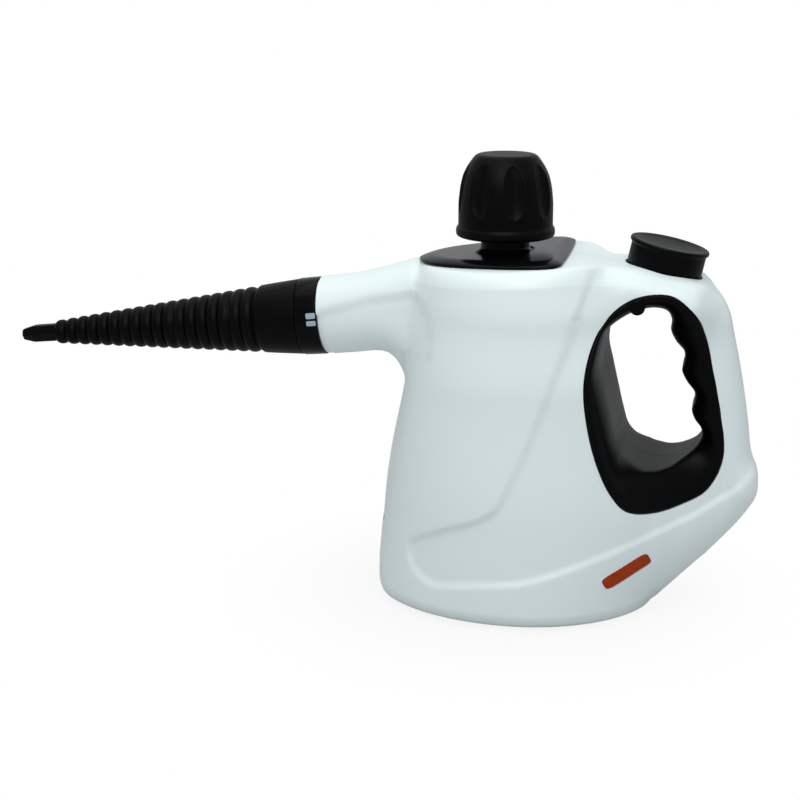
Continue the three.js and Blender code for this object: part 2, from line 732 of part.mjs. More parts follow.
// Matched samples of the handle opening's rim and tunnel edge.
const rimRun = (() => {
  const curve = (column) => new THREE.CatmullRomCurve3(
    rimShares.map((row) => new THREE.Vector3(lengthwise(row[column]), 0, upward(row[column + 1]))),
    true, "centripetal");
  const rim = curve(0);
  const edge = curve(2);
  return Array.from({ length: rimCount }, (_, i) => {
    const share = i / rimCount;
    const [outside, inside] = [rim.getPoint(share), edge.getPoint(share)];
    const row = Math.floor(share * rimShares.length);
    const next = rimShares[(row + 1) % rimShares.length];
    const lip = THREE.MathUtils.lerp(rimShares[row][4], next[4], share * rimShares.length - row);
    return { outside, inside, lip };
  });
})();

function rimOutline(margin) {
  return rimRun.map(({ outside, inside }) => {
    const away = outside.clone().sub(inside).normalize();
    const place = outside.clone().addScaledVector(away, margin);
    return [place.x, place.z];
  });
}

// One half of the black handle insert: a rolled rim that turns in to the tunnel wall, and the wall on
// to the mid-plane. A section is worked out at each sample and the sections close into a loop.
function insertSolid() {
  const rings = rimRun.map(({ outside, inside, lip }) => {
    const away = outside.clone().sub(inside);
    const width = away.length();
    away.normalize();
    const surface = halfWidth(outside.x, outside.z, 0);
    const drop = surface * (1 - lip);
    const at = (out, y) => new THREE.Vector3(inside.x + away.x * out, y, inside.z + away.z * out);
    const roll = (share, inset) => at(
      width - (width - inset) * Math.sin((share * turn) / 4),
      drop - surface - (drop - inset + (inset ? 0 : insertProud)) * Math.cos((share * turn) / 4));
    return [
      ...[0, 1 / 3, 2 / 3, 1].map((share) => roll(share, 0)),
      at(0, -gap / 2), at(insertWall, -gap / 2),
      ...[1, 1 / 2, 0].map((share) => roll(share, insertWall)),
    ];
  });
  const bar = crossBar(lockX, lockZ, lockRadius + gap, -bodyHalfWidth, -lockInner);
  return cutWith(solid(ringsSolid(rings, true)), [bar]);
}

// The lens's outline on the mid-plane, along its tilted length.
function lensOutline(margin) {
  const [long, tall] = [lensLength / 2 + margin, lensHeight / 2 + margin];
  const [cos, sin] = [Math.cos(radians(lensTilt)), Math.sin(radians(lensTilt))];
  const rounded = (value, share) => Math.sign(value) * Math.abs(value) ** share;
  return Array.from({ length: lensCount }, (_, i) => {
    const angle = (turn * i) / lensCount;
    const along = rounded(Math.cos(angle), lensCornerShares[0]) * long;
    const up = rounded(Math.sin(angle), lensCornerShares[1]) * tall;
    return [lensX + along * cos - up * sin, lensZ + along * sin + up * cos];
  });
}

const outerSide = sideSolid(0, 0, -gap / 2, bandOffsets, innerStep);
const hollowSide = sideSolid(wall, overrun, overrun, hollowOffsets, hollowStep);

// A screw boss from the side wall to the mid-plane, kept inside the outer surface.
function boss([x, z]) {
  const reach = halfWidth(x, z, 0) - wall / 2;
  return solid(crossBar(x, z, bossRadius, -reach, -gap / 2, holeCount)).intersect(outerSide);
}

// An upright rib from the floor to the boiler's flange, and in from the side wall to the boiler.
function boilerRib(offset) {
  const near = Math.abs(offset) - ribThickness / 2;
  const inner = Math.sqrt(boilerRadius ** 2 - near ** 2) + gap;
  const top = boilerMiddle - sealThickness / 2 - gap * 2 - flangeThickness;
  const low = [capX + offset - ribThickness / 2, -bodyHalfWidth, shellBottom];
  const high = [capX + offset + ribThickness / 2, -inner, top];
  return solid(box(low, high)).intersect(outerSide);
}

// A pivot boss for the lever's pin, from the side wall almost to the lever.
function pivotBoss() {
  const reach = halfWidth(pivotX, pivotZ, 0) - wall / 2;
  const bar = crossBar(pivotX, pivotZ, bossRadius, -reach, -leverWidth / 2 - slack);
  return solid(bar).intersect(outerSide);
}

function shellSolid(isLeft) {
  let shell = outerSide.subtract(hollowSide);
  screwPlaces.forEach((place) => {
    shell = shell.add(boss(place));
  });
  const ribOffset = boilerRadius * boilerRibShare;
  shell = shell.add(boilerRib(ribOffset)).add(boilerRib(-ribOffset)).add(pivotBoss());
  const cuts = [
    sidePrism(rimOutline(rimGap), -bodyHalfWidth - overrun, overrun),
    slab(padOutline(gap), -overrun, padThickness + gap),
    placed(ring(buttonRadius + slack + gap, 0, -overrun, buttonRadius), buttonFrame),
    ring(fillerRadius + slack, 0, boilerTop + overrun, fillerTop + overrun).translate(capX, 0, 0),
    placed(ring(glandRadius + gap, 0, -wall * 2, overrun), glandFrame),
    placed(ring(neckInner, 0, -ringSkirt - spigotDisc - slack, overrun, wideCount), neckFrame),
    crossBar(pivotX, pivotZ, leverPinRadius + gap / 2, -leverPinLength / 2 - gap, overrun),
  ];
  const pilot = isLeft ? screwReach + gap : bodyHalfWidth + overrun;
  screwPlaces.forEach(([x, z]) => {
    cuts.push(crossBar(x, z, screwRadius + gap, -pilot, overrun, holeCount));
    if (isLeft) return;
    cuts.push(crossBar(x, z, screwHeadRadius + gap, -bodyHalfWidth - overrun, -counterboreFrom));
  });
  if (isLeft) cuts.push(sidePrism(lensOutline(gap), -bodyHalfWidth - overrun, -gap));
  const made = cutWith(shell, cuts);
  return isLeft ? made : mirrored(geometryOf(made));
}

function basePad() {
  return slab(padOutline(0), 0, padThickness);
}

// The shield-shaped plate with the collar that guards the filler.
function deckPlate() {
  const half = plateShares.map(([x, y]) => [x * plateLength, y * plateHalfWidth]);
  const other = half.slice(1, -1).reverse().map(([x, y]) => [x, -y]);
  const curve = new THREE.CatmullRomCurve3(
    [...half, ...other].map(([x, y]) => new THREE.Vector3(x, y, 0)), true, "centripetal");
  const outline = curve.getPoints(padCount).slice(0, -1).map((p) => [p.x, p.y]);
  const plate = solid(placed(slab(outline, 0, plateThickness), deckFrame));
  const base = plateTopZ - plateThickness / 2;
  const bore = fillerRadius + slack;
  const top = plateTopZ + collarHeight;
  const collar = lathe([
    [bore, base], [collarRadius + collarFlare, base],
    [collarRadius + collarFlare, plateTopZ], [collarRadius + collarFlare / 4, plateTopZ + collarFlare / 2],
    [collarRadius, plateTopZ + collarFlare], [collarRadius, top], [bore, top],
  ], wideCount);
  const hole = ring(bore, 0, base - overrun, top + overrun, wideCount);
  return cutWith(joinedWith(plate, [collar.translate(capX, 0, 0)]), [hole.translate(capX, 0, 0)]);
}

// A bar that follows the body's surface and stands a little proud of it.
function indicatorLens() {
  const outline = lensOutline(0);
  const surface = ([x, z]) => -halfWidth(x, z, 0) - insertProud;
  const depth = lensThickness / Math.cos(turn / 8);
  const centre = new THREE.Vector3(lensX, surface([lensX, lensZ]), lensZ);
  const outside = outline.map(([x, z]) => new THREE.Vector3(x, surface([x, z]), z));
  const inside = outside.map((p) => new THREE.Vector3(p.x, p.y + depth, p.z));
  const vertices = [...outside, ...inside, centre, centre.clone().setY(centre.y + depth)];
  const count = outline.length;
  const faces = outline.flatMap((_, i) => {
    const next = (i + 1) % count;
    return [
      2 * count, i, next, 2 * count + 1, count + next, count + i,
      i, count + i, next, next, count + i, count + next,
    ];
  });
  const made = new THREE.BufferGeometry();
  made.setAttribute("position", new THREE.Float32BufferAttribute(
    vertices.flatMap((p) => p.toArray()), 3));
  made.setIndex(faces);
  return solid(made);
}

function indicatorLamp() {
  const face = halfWidth(lensX, lensZ, 0) - lensThickness / Math.cos(turn / 8) - lampRadius - gap;
  return crossBar(lensX, lensZ, lampRadius, -face, lampLength - face);
}

function bodyScrew([x, z]) {
  const headFrom = counterboreFrom + gap;
  const made = lathe([
    [0, -screwReach], [screwRadius, -screwReach], [screwRadius, headFrom],
    [screwHeadRadius, headFrom], [screwHeadRadius, headFrom + screwHeadHeight],
    [0, headFrom + screwHeadHeight],
  ], headCount);
  return made.rotateX(-turn / 4).translate(x, 0, z);
}

// Boiler: two pressed cups with flanges, bolted over a gasket.
const lowerFace = boilerMiddle - sealThickness / 2 - gap;
const upperFace = boilerMiddle + sealThickness / 2 + gap;

function cupProfile(floor, face, hole) {
  const way = Math.sign(face - floor);
  const inner = boilerRadius - boilerWall;
  const soft = boilerFillet * cupBendShare;
  return [
    [hole, floor], [boilerRadius - boilerFillet, floor], [boilerRadius - soft, floor + way * soft],
    [boilerRadius, floor + way * boilerFillet], [boilerRadius, face - way * flangeThickness],
    [flangeRadius, face - way * flangeThickness], [flangeRadius, face], [inner, face],
    [inner, floor + way * boilerFillet], [inner - boilerFillet / 2, floor + way * boilerWall],
    [hole, floor + way * boilerWall],
  ];
}

const boltCircle = (boilerRadius + flangeRadius) / 2;
const boltPlaces = Array.from({ length: boltCount }, (_, i) => {
  const angle = (turn * (i + 1 / 2)) / boltCount;
  return [boltCircle * Math.cos(angle), boltCircle * Math.sin(angle)];
});

function boltHoles() {
  const low = lowerFace - flangeThickness - overrun;
  const high = upperFace + flangeThickness + overrun;
  return boltPlaces.map(([x, y]) => ring(boltRadius + gap, 0, low, high, holeCount).translate(x, y, 0));
}

function boilerLower() {
  return cutWith(solid(lathe(cupProfile(boilerBottom, lowerFace, 0))), boltHoles());
}

function boilerUpper() {
  const body = solid(lathe(cupProfile(boilerTop, upperFace, fillerBore)));
  const steamHole = ring(spigotBore, 0, boilerTop - boilerWall - overrun, boilerTop + overrun, barCount);
  return cutWith(body, [...boltHoles(), steamHole.translate(valveX - capX, 0, 0)]);
}

function boilerBolt([x, y]) {
  const top = upperFace + flangeThickness + gap;
  const tip = lowerFace - flangeThickness / 2;
  return lathe([
    [0, tip], [boltRadius, tip], [boltRadius, top], [boltHeadRadius, top],
    [boltHeadRadius, top + boltHeadHeight], [0, top + boltHeadHeight],
  ], headCount).translate(x, y, 0);
}

function fillerNeck() {
  const low = boilerTop + gap;
  return lathe([
    [fillerBore, low], [fillerFlangeRadius, low], [fillerFlangeRadius, low + fillerFlangeHeight],
    [fillerRadius, low + fillerFlangeHeight], [fillerRadius, fillerTop], [fillerBore, fillerTop],
  ]);
}

// An open ring under the boiler, its two ends towards the handle.
const elementGap = turn / 18;

function heatingElement() {
  const height = boilerBottom - gap - elementTube;
  const points = Array.from({ length: bendCount + 1 }, (_, i) => {
    const angle = elementGap + ((turn - 2 * elementGap) * i) / bendCount;
    return new THREE.Vector3(elementRadius * Math.cos(angle), elementRadius * Math.sin(angle), height);
  });
  return tube(points, elementTube, bendCount);
}

// Safety cap, from the seat on the filler upwards.
const gasketLow = fillerTop + gap;
const washerLow = gasketLow + gasketThickness + gap;
const coreFlangeLow = washerLow + washerThickness + gap;
const coreFlangeTop = coreFlangeLow + coreFlangeHeight;
const shankRadius = fillerBore - gap;
const shankLow = fillerTop - coreShankLength;
const seatHeight = shankLow + reliefSeatDepth;
const stemTop = coreFlangeTop + coreStemLength;
const knobLow = plateTopZ + collarHeight + slack;
const hubLow = coreFlangeTop + capSpringLength + gap;
const hubTop = hubLow + hubHeight;
const hubBoreRadius = coreStemRadius + gap;
const knobRoom = collarRadius + slack;
const reliefDiscLow = seatHeight + gap;
const reliefSpringLow = reliefDiscLow + reliefDiscHeight + gap;
const reliefPlugLow = reliefSpringLow + reliefSpringLength + gap;

function capCore() {
  return lathe([
    [reliefBore, shankLow], [shankRadius, shankLow], [shankRadius, coreFlangeLow],
    [coreFlangeRadius, coreFlangeLow], [coreFlangeRadius, coreFlangeTop],
    [coreStemRadius, coreFlangeTop], [coreStemRadius, stemTop], [reliefChamber, stemTop],
    [reliefChamber, seatHeight], [reliefBore, seatHeight],
  ]);
}

function capGasket() {
  return ring(fillerRadius, fillerBore, gasketLow, gasketLow + gasketThickness);
}

function capWasher() {
  return ring(coreFlangeRadius, fillerBore, washerLow, washerLow + washerThickness);
}

function capSpring() {
  const inner = coreStemRadius + slack;
  return ring(inner + capSpringWire, inner, coreFlangeTop + gap / 2, hubLow - gap / 2);
}

function capClip() {
  return ring(coreStemRadius + capSpringWire, hubBoreRadius, hubTop + gap, hubTop + gap + clipThickness);
}

function reliefPin() {
  const disc = reliefChamber - gap;
  return lathe([
    [0, reliefDiscLow], [disc, reliefDiscLow], [disc, reliefDiscLow + reliefDiscHeight],
    [reliefPinRadius, reliefDiscLow + reliefDiscHeight],
    [reliefPinRadius, reliefSpringLow + reliefSpringLength * pinReachShare],
    [0, reliefSpringLow + reliefSpringLength * pinReachShare],
  ], barCount);
}

function reliefSpring() {
  return ring(reliefChamber - gap, reliefPinRadius + gap, reliefSpringLow,
    reliefSpringLow + reliefSpringLength, barCount);
}

function reliefPlug() {
  return ring(reliefChamber - gap, reliefPinRadius + gap, reliefPlugLow, reliefPlugLow + reliefPlugHeight,
    barCount);
}

// The knob: a tapering side with a lip at its foot and flutes pressed in round it, hollow underneath
// for the spring and the stem.
function capKnob() {
  const [fluteLow, fluteHigh] = fluteZoneShares;
  const rings = knobSideShares.map(([rise, out]) => Array.from({ length: knobCount }, (_, i) => {
    const angle = (turn * i) / knobCount + (turn * flutePhaseShare) / fluteCount;
    const inPitch = ((i * fluteCount) / knobCount + 1 / 2) % 1 - 1 / 2;
    const across = Math.max(0, Math.cos((inPitch / fluteWidthShare) * (turn / 2)));
    const inZone = THREE.MathUtils.clamp((rise - fluteLow) / (fluteHigh - fluteLow), 0, 1);
    const deep = fluteDepth * across * Math.sin(inZone * (turn / 2)) ** fluteEndShare;
    const radius = knobRadius * out - deep;
    return new THREE.Vector3(
      radius * Math.cos(angle), radius * Math.sin(angle), knobLow + rise * knobHeight);
  }));
  const chamber = coreStemRadius + capSpringWire + slack * 2;
  const roof = stemTop + knobTravel + knobRoof;
  const room = lathe([
    [0, knobLow - overrun], [knobRoom, knobLow - overrun], [knobRoom, hubLow], [hubBoreRadius, hubLow],
    [hubBoreRadius, hubTop], [chamber, hubTop], [chamber, roof], [0, roof],
  ]);
  return cutWith(solid(ringsSolid(rings, false)), [room]);
}

// Steam valve on the boiler, opened by the stem that the lever lifts.
const valveLow = boilerTop + gap;
const valveTop = valveLow + valveHeight;
const valveSeatHeight = valveLow + valveSeat;
const stemCollarLow = valveSeatHeight + stemRadius;
const stemHeadLow = leverTop + gap;

function valveBody() {
  const tower = lathe([
    [spigotBore, valveLow], [valveBaseRadius, valveLow], [valveBaseRadius, valveLow + valveBaseHeight],
    [valveRadius, valveLow + valveBaseHeight], [valveRadius, valveTop], [valveBore, valveTop],
    [valveBore, valveSeatHeight], [spigotBore, valveSeatHeight],
  ]);
  const sideHeight = valveSeatHeight + outletBossRadius;
  const side = crossBar(0, sideHeight, outletBossRadius, -outletBossReach, 0);
  const way = crossBar(0, sideHeight, pipeBore, -outletBossReach - overrun, 0, holeCount);
  const whole = joinedWith(solid(tower), [side]);
  const bore = ring(valveBore, 0, valveSeatHeight, valveTop + overrun);
  return cutWith(whole, [bore, way]);
}

function valveCap() {
  const plug = valveTop + gap;
  return lathe([
    [stemRadius + gap, plug - valveCapHeight], [valveBore - gap, plug - valveCapHeight],
    [valveBore - gap, plug], [valveRadius, plug], [valveRadius, plug + valveCapRim],
    [stemRadius + gap, plug + valveCapRim],
  ]);
}

function valveStem() {
  const collar = valveBore - gap;
  return lathe([
    [0, valveSeatHeight + gap], [stemRadius, valveSeatHeight + gap], [stemRadius, stemCollarLow],
    [collar, stemCollarLow], [collar, stemCollarLow + stemCollar],
    [stemRadius, stemCollarLow + stemCollar], [stemRadius, stemHeadLow], [stemHeadRadius, stemHeadLow],
    [stemHeadRadius, stemHeadLow + stemHeadHeight], [0, stemHeadLow + stemHeadHeight],
  ], barCount);
}

function valveSpring() {
  return ring(valveBore - gap, stemRadius + gap, stemCollarLow + stemCollar + gap / 2,
    valveTop + gap - valveCapHeight - gap / 2, barCount);
}

// The pipe from the valve's side round the filler and into the neck.
const pipeShares = [
  [0.07, -0.345, 0.755], [-0.03, -0.345, 0.775], [-0.14, -0.24, 0.8], [-0.235, -0.08, 0.82],
];

function steamPipe() {
  const start = new THREE.Vector3(
    valveX, -outletBossReach - gap, valveSeatHeight + outletBossRadius);
  const tail = ringSkirt + gap + spigotDisc + spigotTail;
  const end = new THREE.Vector3(0, 0, -tail - gap).applyMatrix4(neckFrame);
  const before = new THREE.Vector3(0, 0, -tail - pipeRadius * 2).applyMatrix4(neckFrame);
  const after = start.clone().setY(start.y - pipeRadius * 2);
  const route = pipeShares.map(([x, y, z]) =>
    new THREE.Vector3(lengthwise(x), y * bodyHalfWidth, upward(z)));
  return tube([start, after, ...route, before, end], pipeRadius, bendCount);
}

// Thumb button and lever. The button's hollow slides over the guide's tube.
function steamButton() {
  const top = buttonRise + buttonDiscHeight;
  const soft = buttonDiscHeight * buttonEdgeShare;
  const roof = top - buttonWall - soft;
  return lathe([
    [0, -postReach], [postRadius, -postReach], [postRadius, roof], [buttonRadius - buttonWall, roof],
    [buttonRadius - buttonWall, -buttonSkirt], [buttonRadius, -buttonSkirt], [buttonRadius, buttonRise],
    [buttonDiscRadius, buttonRise + soft], [buttonDiscRadius, top - soft],
    [buttonDiscRadius - soft, top], [0, top],
  ], wideCount);
}

const guideFloorTop = -buttonSkirt - buttonTravel - gap;
const guideRadius = buttonRadius - buttonWall - slack;

function buttonGuide() {
  const inner = guideRadius - guideWall;
  const floorLow = guideFloorTop - guideFloor;
  const flange = buttonDiscRadius + slack;
  return lathe([
    [postRadius + slack, floorLow], [flange, floorLow], [flange, guideFloorTop],
    [guideRadius, guideFloorTop], [guideRadius, guideTop], [inner, guideTop], [inner, guideFloorTop],
    [postRadius + slack, guideFloorTop],
  ], wideCount);
}

function buttonSpring() {
  const inner = postRadius + slack;
  const roof = buttonRise + buttonDiscHeight * (1 - buttonEdgeShare) - buttonWall;
  return ring(inner + springWire, inner, guideFloorTop + gap / 2, roof - gap / 2);
}

function triggerLever() {
  const low = [valveX - stemHeadRadius - springWire, -leverWidth / 2, leverTop - leverThickness];
  const high = [postTip.x + postRadius, leverWidth / 2, leverTop];
  const hub = crossBar(pivotX, pivotZ, leverHubRadius, -leverWidth / 2, leverWidth / 2);
  const hole = crossBar(pivotX, pivotZ, leverPinRadius + gap / 2, -leverWidth, leverWidth);
  const slot = ring(leverSlotRadius, 0, leverTop - overrun, leverTop + overrun);
  return cutWith(joinedWith(solid(box(low, high)), [hub]), [hole, slot.translate(valveX, 0, 0)]);
}

function leverPin() {
  return crossBar(pivotX, pivotZ, leverPinRadius, -leverPinLength / 2, leverPinLength / 2);
}

// The lock's cross pin: two heads and a waist that passes under the lever, pushed to one side.
function lockPin() {
  const [from, to] = [-lockReach - lockTravel / 2, lockReach - lockTravel / 2];
  const soft = lockChamfer;
  const made = lathe([
    [0, from], [lockRadius - soft, from], [lockRadius, from + soft], [lockRadius, from + lockHeadLength],
    [lockWaist, from + lockHeadLength], [lockWaist, to - lockHeadLength],
    [lockRadius, to - lockHeadLength], [lockRadius, to - soft], [lockRadius - soft, to], [0, to],
  ], barCount);
  return made.rotateX(-turn / 4).translate(lockX, 0, lockZ);
}

// Outlet and nozzle, about the neck's axis with local +Z towards the tip.
const skirtRadius = neckInner - gap;
const chamberRadius = skirtRadius - ringWall;
const lugRadius = chamberRadius - slack;
const lipBack = ringLength - ringLip;
const nozzleFace = ringLength + gap;
const nozzleShoulder = nozzleFace + sleeveLength;
const ribRadiusAt = (i) => THREE.MathUtils.lerp(ribLargeRadius, ribSmallRadius, i / (ribCount - 1));
const coneEnd = nozzleShoulder + ribStart + ribPitch * (ribCount - 1) + ribPitch / 2;
const tipShankRadius = ribSmallRadius - ribDepth - ringWall;

function outletRing() {
  const body = solid(lathe([
    [chamberRadius, -ringSkirt], [skirtRadius, -ringSkirt], [skirtRadius, gap], [neckRadius, gap],
    [neckRadius - gap, ringLength], [lipBore, ringLength], [lipBore, lipBack], [chamberRadius, lipBack],
  ], wideCount));
  const half = lugWidth / 2 + slack;
  const slotInner = lipBore - ringLip;
  const slots = [1, -1].map((side) => box(
    [Math.min(side * slotInner, side * chamberRadius), -half, lipBack - ringLip],
    [Math.max(side * slotInner, side * chamberRadius), half, ringLength + overrun]));
  return cutWith(body, slots);
}

function outletSpigot() {
  const disc = -ringSkirt - gap;
  return lathe([
    [spigotBore, disc - spigotDisc - spigotTail], [spigotRadius, disc - spigotDisc - spigotTail],
    [spigotRadius, disc - spigotDisc], [skirtRadius, disc - spigotDisc], [skirtRadius, disc],
    [spigotRadius, disc], [spigotRadius, spigotReach], [spigotBore, spigotReach],
  ]);
}

function nozzleSeal() {
  const middle = (spigotRadius + hubBore) / 2;
  const profile = Array.from({ length: headCount }, (_, i) => {
    const angle = (turn * i) / headCount;
    return [middle + sealRing * Math.cos(angle), sealRing * Math.sin(angle)];
  });
  return lathe(profile);
}

// Sleeve and ribbed cone in one: a hub with two lugs that enters the ring, a smooth sleeve, and rings of
// ribs that shrink towards the tip round a tapering bore.
function nozzleSleeve() {
  const ribs = Array.from({ length: ribCount }, (_, i) => {
    const crest = nozzleShoulder + ribStart + ribPitch * i;
    return [
      [ribRadiusAt(i) - ribDepth, crest - ribPitch / 2], [ribRadiusAt(i), crest],
    ];
  }).flat();
  const wide = sleeveEndRadius - nozzleWall * 2;
  const body = lathe([
    [hubBore, -hubReach], [hubRadius, -hubReach], [hubRadius, nozzleFace], [neckRadius - slack, nozzleFace],
    [sleeveEndRadius, nozzleShoulder - ribDepth], [sleeveEndRadius - ribDepth, nozzleShoulder],
    ...ribs, [ribSmallRadius - ribDepth, coneEnd], [tipShankRadius + gap, coneEnd],
    [tipShankRadius + gap, coneEnd - tipShank - gap * 2], [wide, nozzleFace + hubRadius],
    [hubBore, nozzleFace],
  ], coneCount);
  const lugLow = lipBack - gap * 2 - lugHeight;
  const middle = (hubBore + hubRadius) / 2;
  const lugReach = Math.sqrt(lugRadius ** 2 - (lugWidth / 2) ** 2);
  const lugs = [1, -1].map((side) => box(
    [Math.min(side * middle, side * lugReach), -lugWidth / 2, lugLow],
    [Math.max(side * middle, side * lugReach), lugWidth / 2, lugLow + lugHeight]));
  return joinedWith(solid(body), lugs);
}

function nozzleTip() {
  const low = coneEnd + gap;
  return lathe([
    [tipBore, coneEnd - tipShank], [tipShankRadius, coneEnd - tipShank], [tipShankRadius, low],
    [tipRadius, low], [tipRadius, low + tipLength * tipStraightShare], [tipEndRadius, low + tipLength],
    [tipBore, low + tipLength],
  ], headCount);
}

// Electric parts
function cordGland() {
  return lathe([
    [glandBore, -glandLength], [glandRadius, -glandLength], [glandRadius, gap],
    [glandRadius + glandFlange, gap], [glandRadius + glandFlange, gap + glandFlange],
    [glandBore, gap + glandFlange],
  ]);
}

// The terminal block stands in front of the fourth screw's boss.
const blockLow = [
  screwPlaces[3][0] - bossRadius - gap - blockLength, lengthwise(blockSideShare) - blockWidth / 2,
  floorTop + gap,
];
const blockHigh = [blockLow[0] + blockLength, blockLow[1] + blockWidth, blockLow[2] + blockHeight];

function terminalBlock() {
  return box(blockLow, blockHigh);
}

const blockMiddle = (blockLow[1] + blockHigh[1]) / 2;

// A wire from the block to one end of the heating element.
function elementWire(side) {
  const start = new THREE.Vector3(
    blockLow[0] - gap, blockMiddle + side * wireRadius * 2, blockHigh[2] - blockHeight / 2);
  const after = start.clone().setX(start.x - wireRadius * 2);
  const height = boilerBottom - gap - elementTube;
  const end = new THREE.Vector3(capX + elementRadius * Math.cos(elementGap),
    side * (elementRadius * Math.sin(elementGap) - gap), height);
  const middle = start.clone().lerp(end, 1 / 2).setZ(blockLow[2] + wireRadius * 2);
  const before = end.clone().setX(end.x + elementTube).setY(end.y - side * (elementTube + slack));
  return tube([start, after, middle, before, end], wireRadius, barCount);
}

// A wire from the gland's inner end to the block.
function supplyWire(side) {
  const inner = new THREE.Vector3(0, side * glandBore / 2, -glandLength - gap).applyMatrix4(glandFrame);
  const bend = new THREE.Vector3(0, side * glandBore / 2, -glandLength - overrun).applyMatrix4(glandFrame);
  const end = new THREE.Vector3(
    blockHigh[0] - blockHeight / 2, blockMiddle + side * wireRadius * 2, blockHigh[2] + gap);
  const before = end.clone().setZ(end.z + wireRadius * 2);
  const above = before.clone().add(new THREE.Vector3(wireRadius * 2, 0, wireRadius * 3));
  return tube([inner, bend, above, before, end], wireRadius, barCount);
}

const cleaner = new THREE.Group();

function addPiece(parent, name, shape, material) {
  const piece = new THREE.Mesh(shape.isBufferGeometry ? shape : geometryOf(shape), material);
  piece.name = name;
  parent.add(piece);
}

function addGroup(frame) {
  const group = new THREE.Group();
  group.applyMatrix4(frame);
  cleaner.add(group);
  return group;
}

const capGroup = addGroup(new THREE.Matrix4().makeTranslation(capX, 0, 0));
const valveGroup = addGroup(new THREE.Matrix4().makeTranslation(valveX, 0, 0));
const buttonGroup = addGroup(buttonFrame);
const neckGroup = addGroup(neckFrame);
const glandGroup = addGroup(glandFrame);

const insert = insertSolid();
addPiece(cleaner, "body_shell_left", shellSolid(true), materials.white);
addPiece(cleaner, "body_shell_right", shellSolid(false), materials.white);
addPiece(cleaner, "handle_insert_left", insert, materials.black);
addPiece(cleaner, "handle_insert_right", mirrored(geometryOf(insert)), materials.black);
addPiece(cleaner, "base_pad", basePad(), materials.rubber);
addPiece(cleaner, "deck_plate", deckPlate(), materials.gloss);
addPiece(cleaner, "indicator_lens", indicatorLens(), materials.amber);
addPiece(cleaner, "indicator_lamp", indicatorLamp(), materials.ceramic);
screwPlaces.forEach((place, i) => {
  addPiece(cleaner, `body_screw_${i + 1}`, bodyScrew(place), materials.steel);
});

addPiece(capGroup, "boiler_lower", boilerLower(), materials.alloy);
addPiece(capGroup, "boiler_upper", boilerUpper(), materials.alloy);
addPiece(capGroup, "boiler_gasket", ring(boltCircle - boltRadius - slack, boilerRadius - boilerWall,
  boilerMiddle - sealThickness / 2, boilerMiddle + sealThickness / 2), materials.rubber);
boltPlaces.forEach((place, i) => {
  addPiece(capGroup, `boiler_bolt_${i + 1}`, boilerBolt(place), materials.steel);
});
addPiece(capGroup, "filler_neck", fillerNeck(), materials.brass);
addPiece(capGroup, "heating_element", heatingElement(), materials.steel);
addPiece(capGroup, "thermostat", ring(thermostatRadius, 0, boilerBottom - gap - thermostatHeight,
  boilerBottom - gap), materials.ceramic);
addPiece(capGroup, "thermal_fuse", ring(fuseRadius, 0, 0, fuseLength, barCount)
  .translate(0, boilerRadius + gap + fuseRadius, (boilerMiddle + boilerTop) / 2), materials.steel);

addPiece(capGroup, "cap_core", capCore(), materials.brass);
addPiece(capGroup, "cap_gasket", capGasket(), materials.rubber);
addPiece(capGroup, "cap_washer", capWasher(), materials.steel);
addPiece(capGroup, "cap_spring", capSpring(), materials.steel);
addPiece(capGroup, "cap_clip", capClip(), materials.steel);
addPiece(capGroup, "cap_knob", capKnob(), materials.black);
addPiece(capGroup, "relief_pin", reliefPin(), materials.brass);
addPiece(capGroup, "relief_spring", reliefSpring(), materials.steel);
addPiece(capGroup, "relief_plug", reliefPlug(), materials.brass);

addPiece(valveGroup, "valve_body", valveBody(), materials.brass);
addPiece(valveGroup, "valve_cap", valveCap(), materials.brass);
addPiece(valveGroup, "valve_stem", valveStem(), materials.steel);
addPiece(valveGroup, "valve_spring", valveSpring(), materials.steel);
addPiece(cleaner, "steam_pipe", steamPipe(), materials.rubber);

addPiece(buttonGroup, "steam_button", steamButton(), materials.black);
addPiece(buttonGroup, "button_guide", buttonGuide(), materials.black);
addPiece(buttonGroup, "button_spring", buttonSpring(), materials.steel);
addPiece(cleaner, "trigger_lever", triggerLever(), materials.black);
addPiece(cleaner, "lever_pin", leverPin(), materials.steel);
addPiece(cleaner, "lock_pin", lockPin(), materials.black);

addPiece(neckGroup, "outlet_ring", outletRing(), materials.gloss);
addPiece(neckGroup, "outlet_spigot", outletSpigot(), materials.brass);
addPiece(neckGroup, "nozzle_seal", nozzleSeal(), materials.rubber);
addPiece(neckGroup, "nozzle_sleeve", nozzleSleeve(), materials.black);
addPiece(neckGroup, "nozzle_tip", nozzleTip(), materials.black);

addPiece(glandGroup, "cord_gland", cordGland(), materials.black);
addPiece(cleaner, "terminal_block", terminalBlock(), materials.ceramic);
addPiece(cleaner, "element_wire_left", elementWire(-1), materials.wireBrown);
addPiece(cleaner, "element_wire_right", elementWire(1), materials.wireBlue);
addPiece(cleaner, "supply_wire_left", supplyWire(-1), materials.wireBrown);
addPiece(cleaner, "supply_wire_right", supplyWire(1), materials.wireBlue);

export default cleaner;
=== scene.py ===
import json
import math

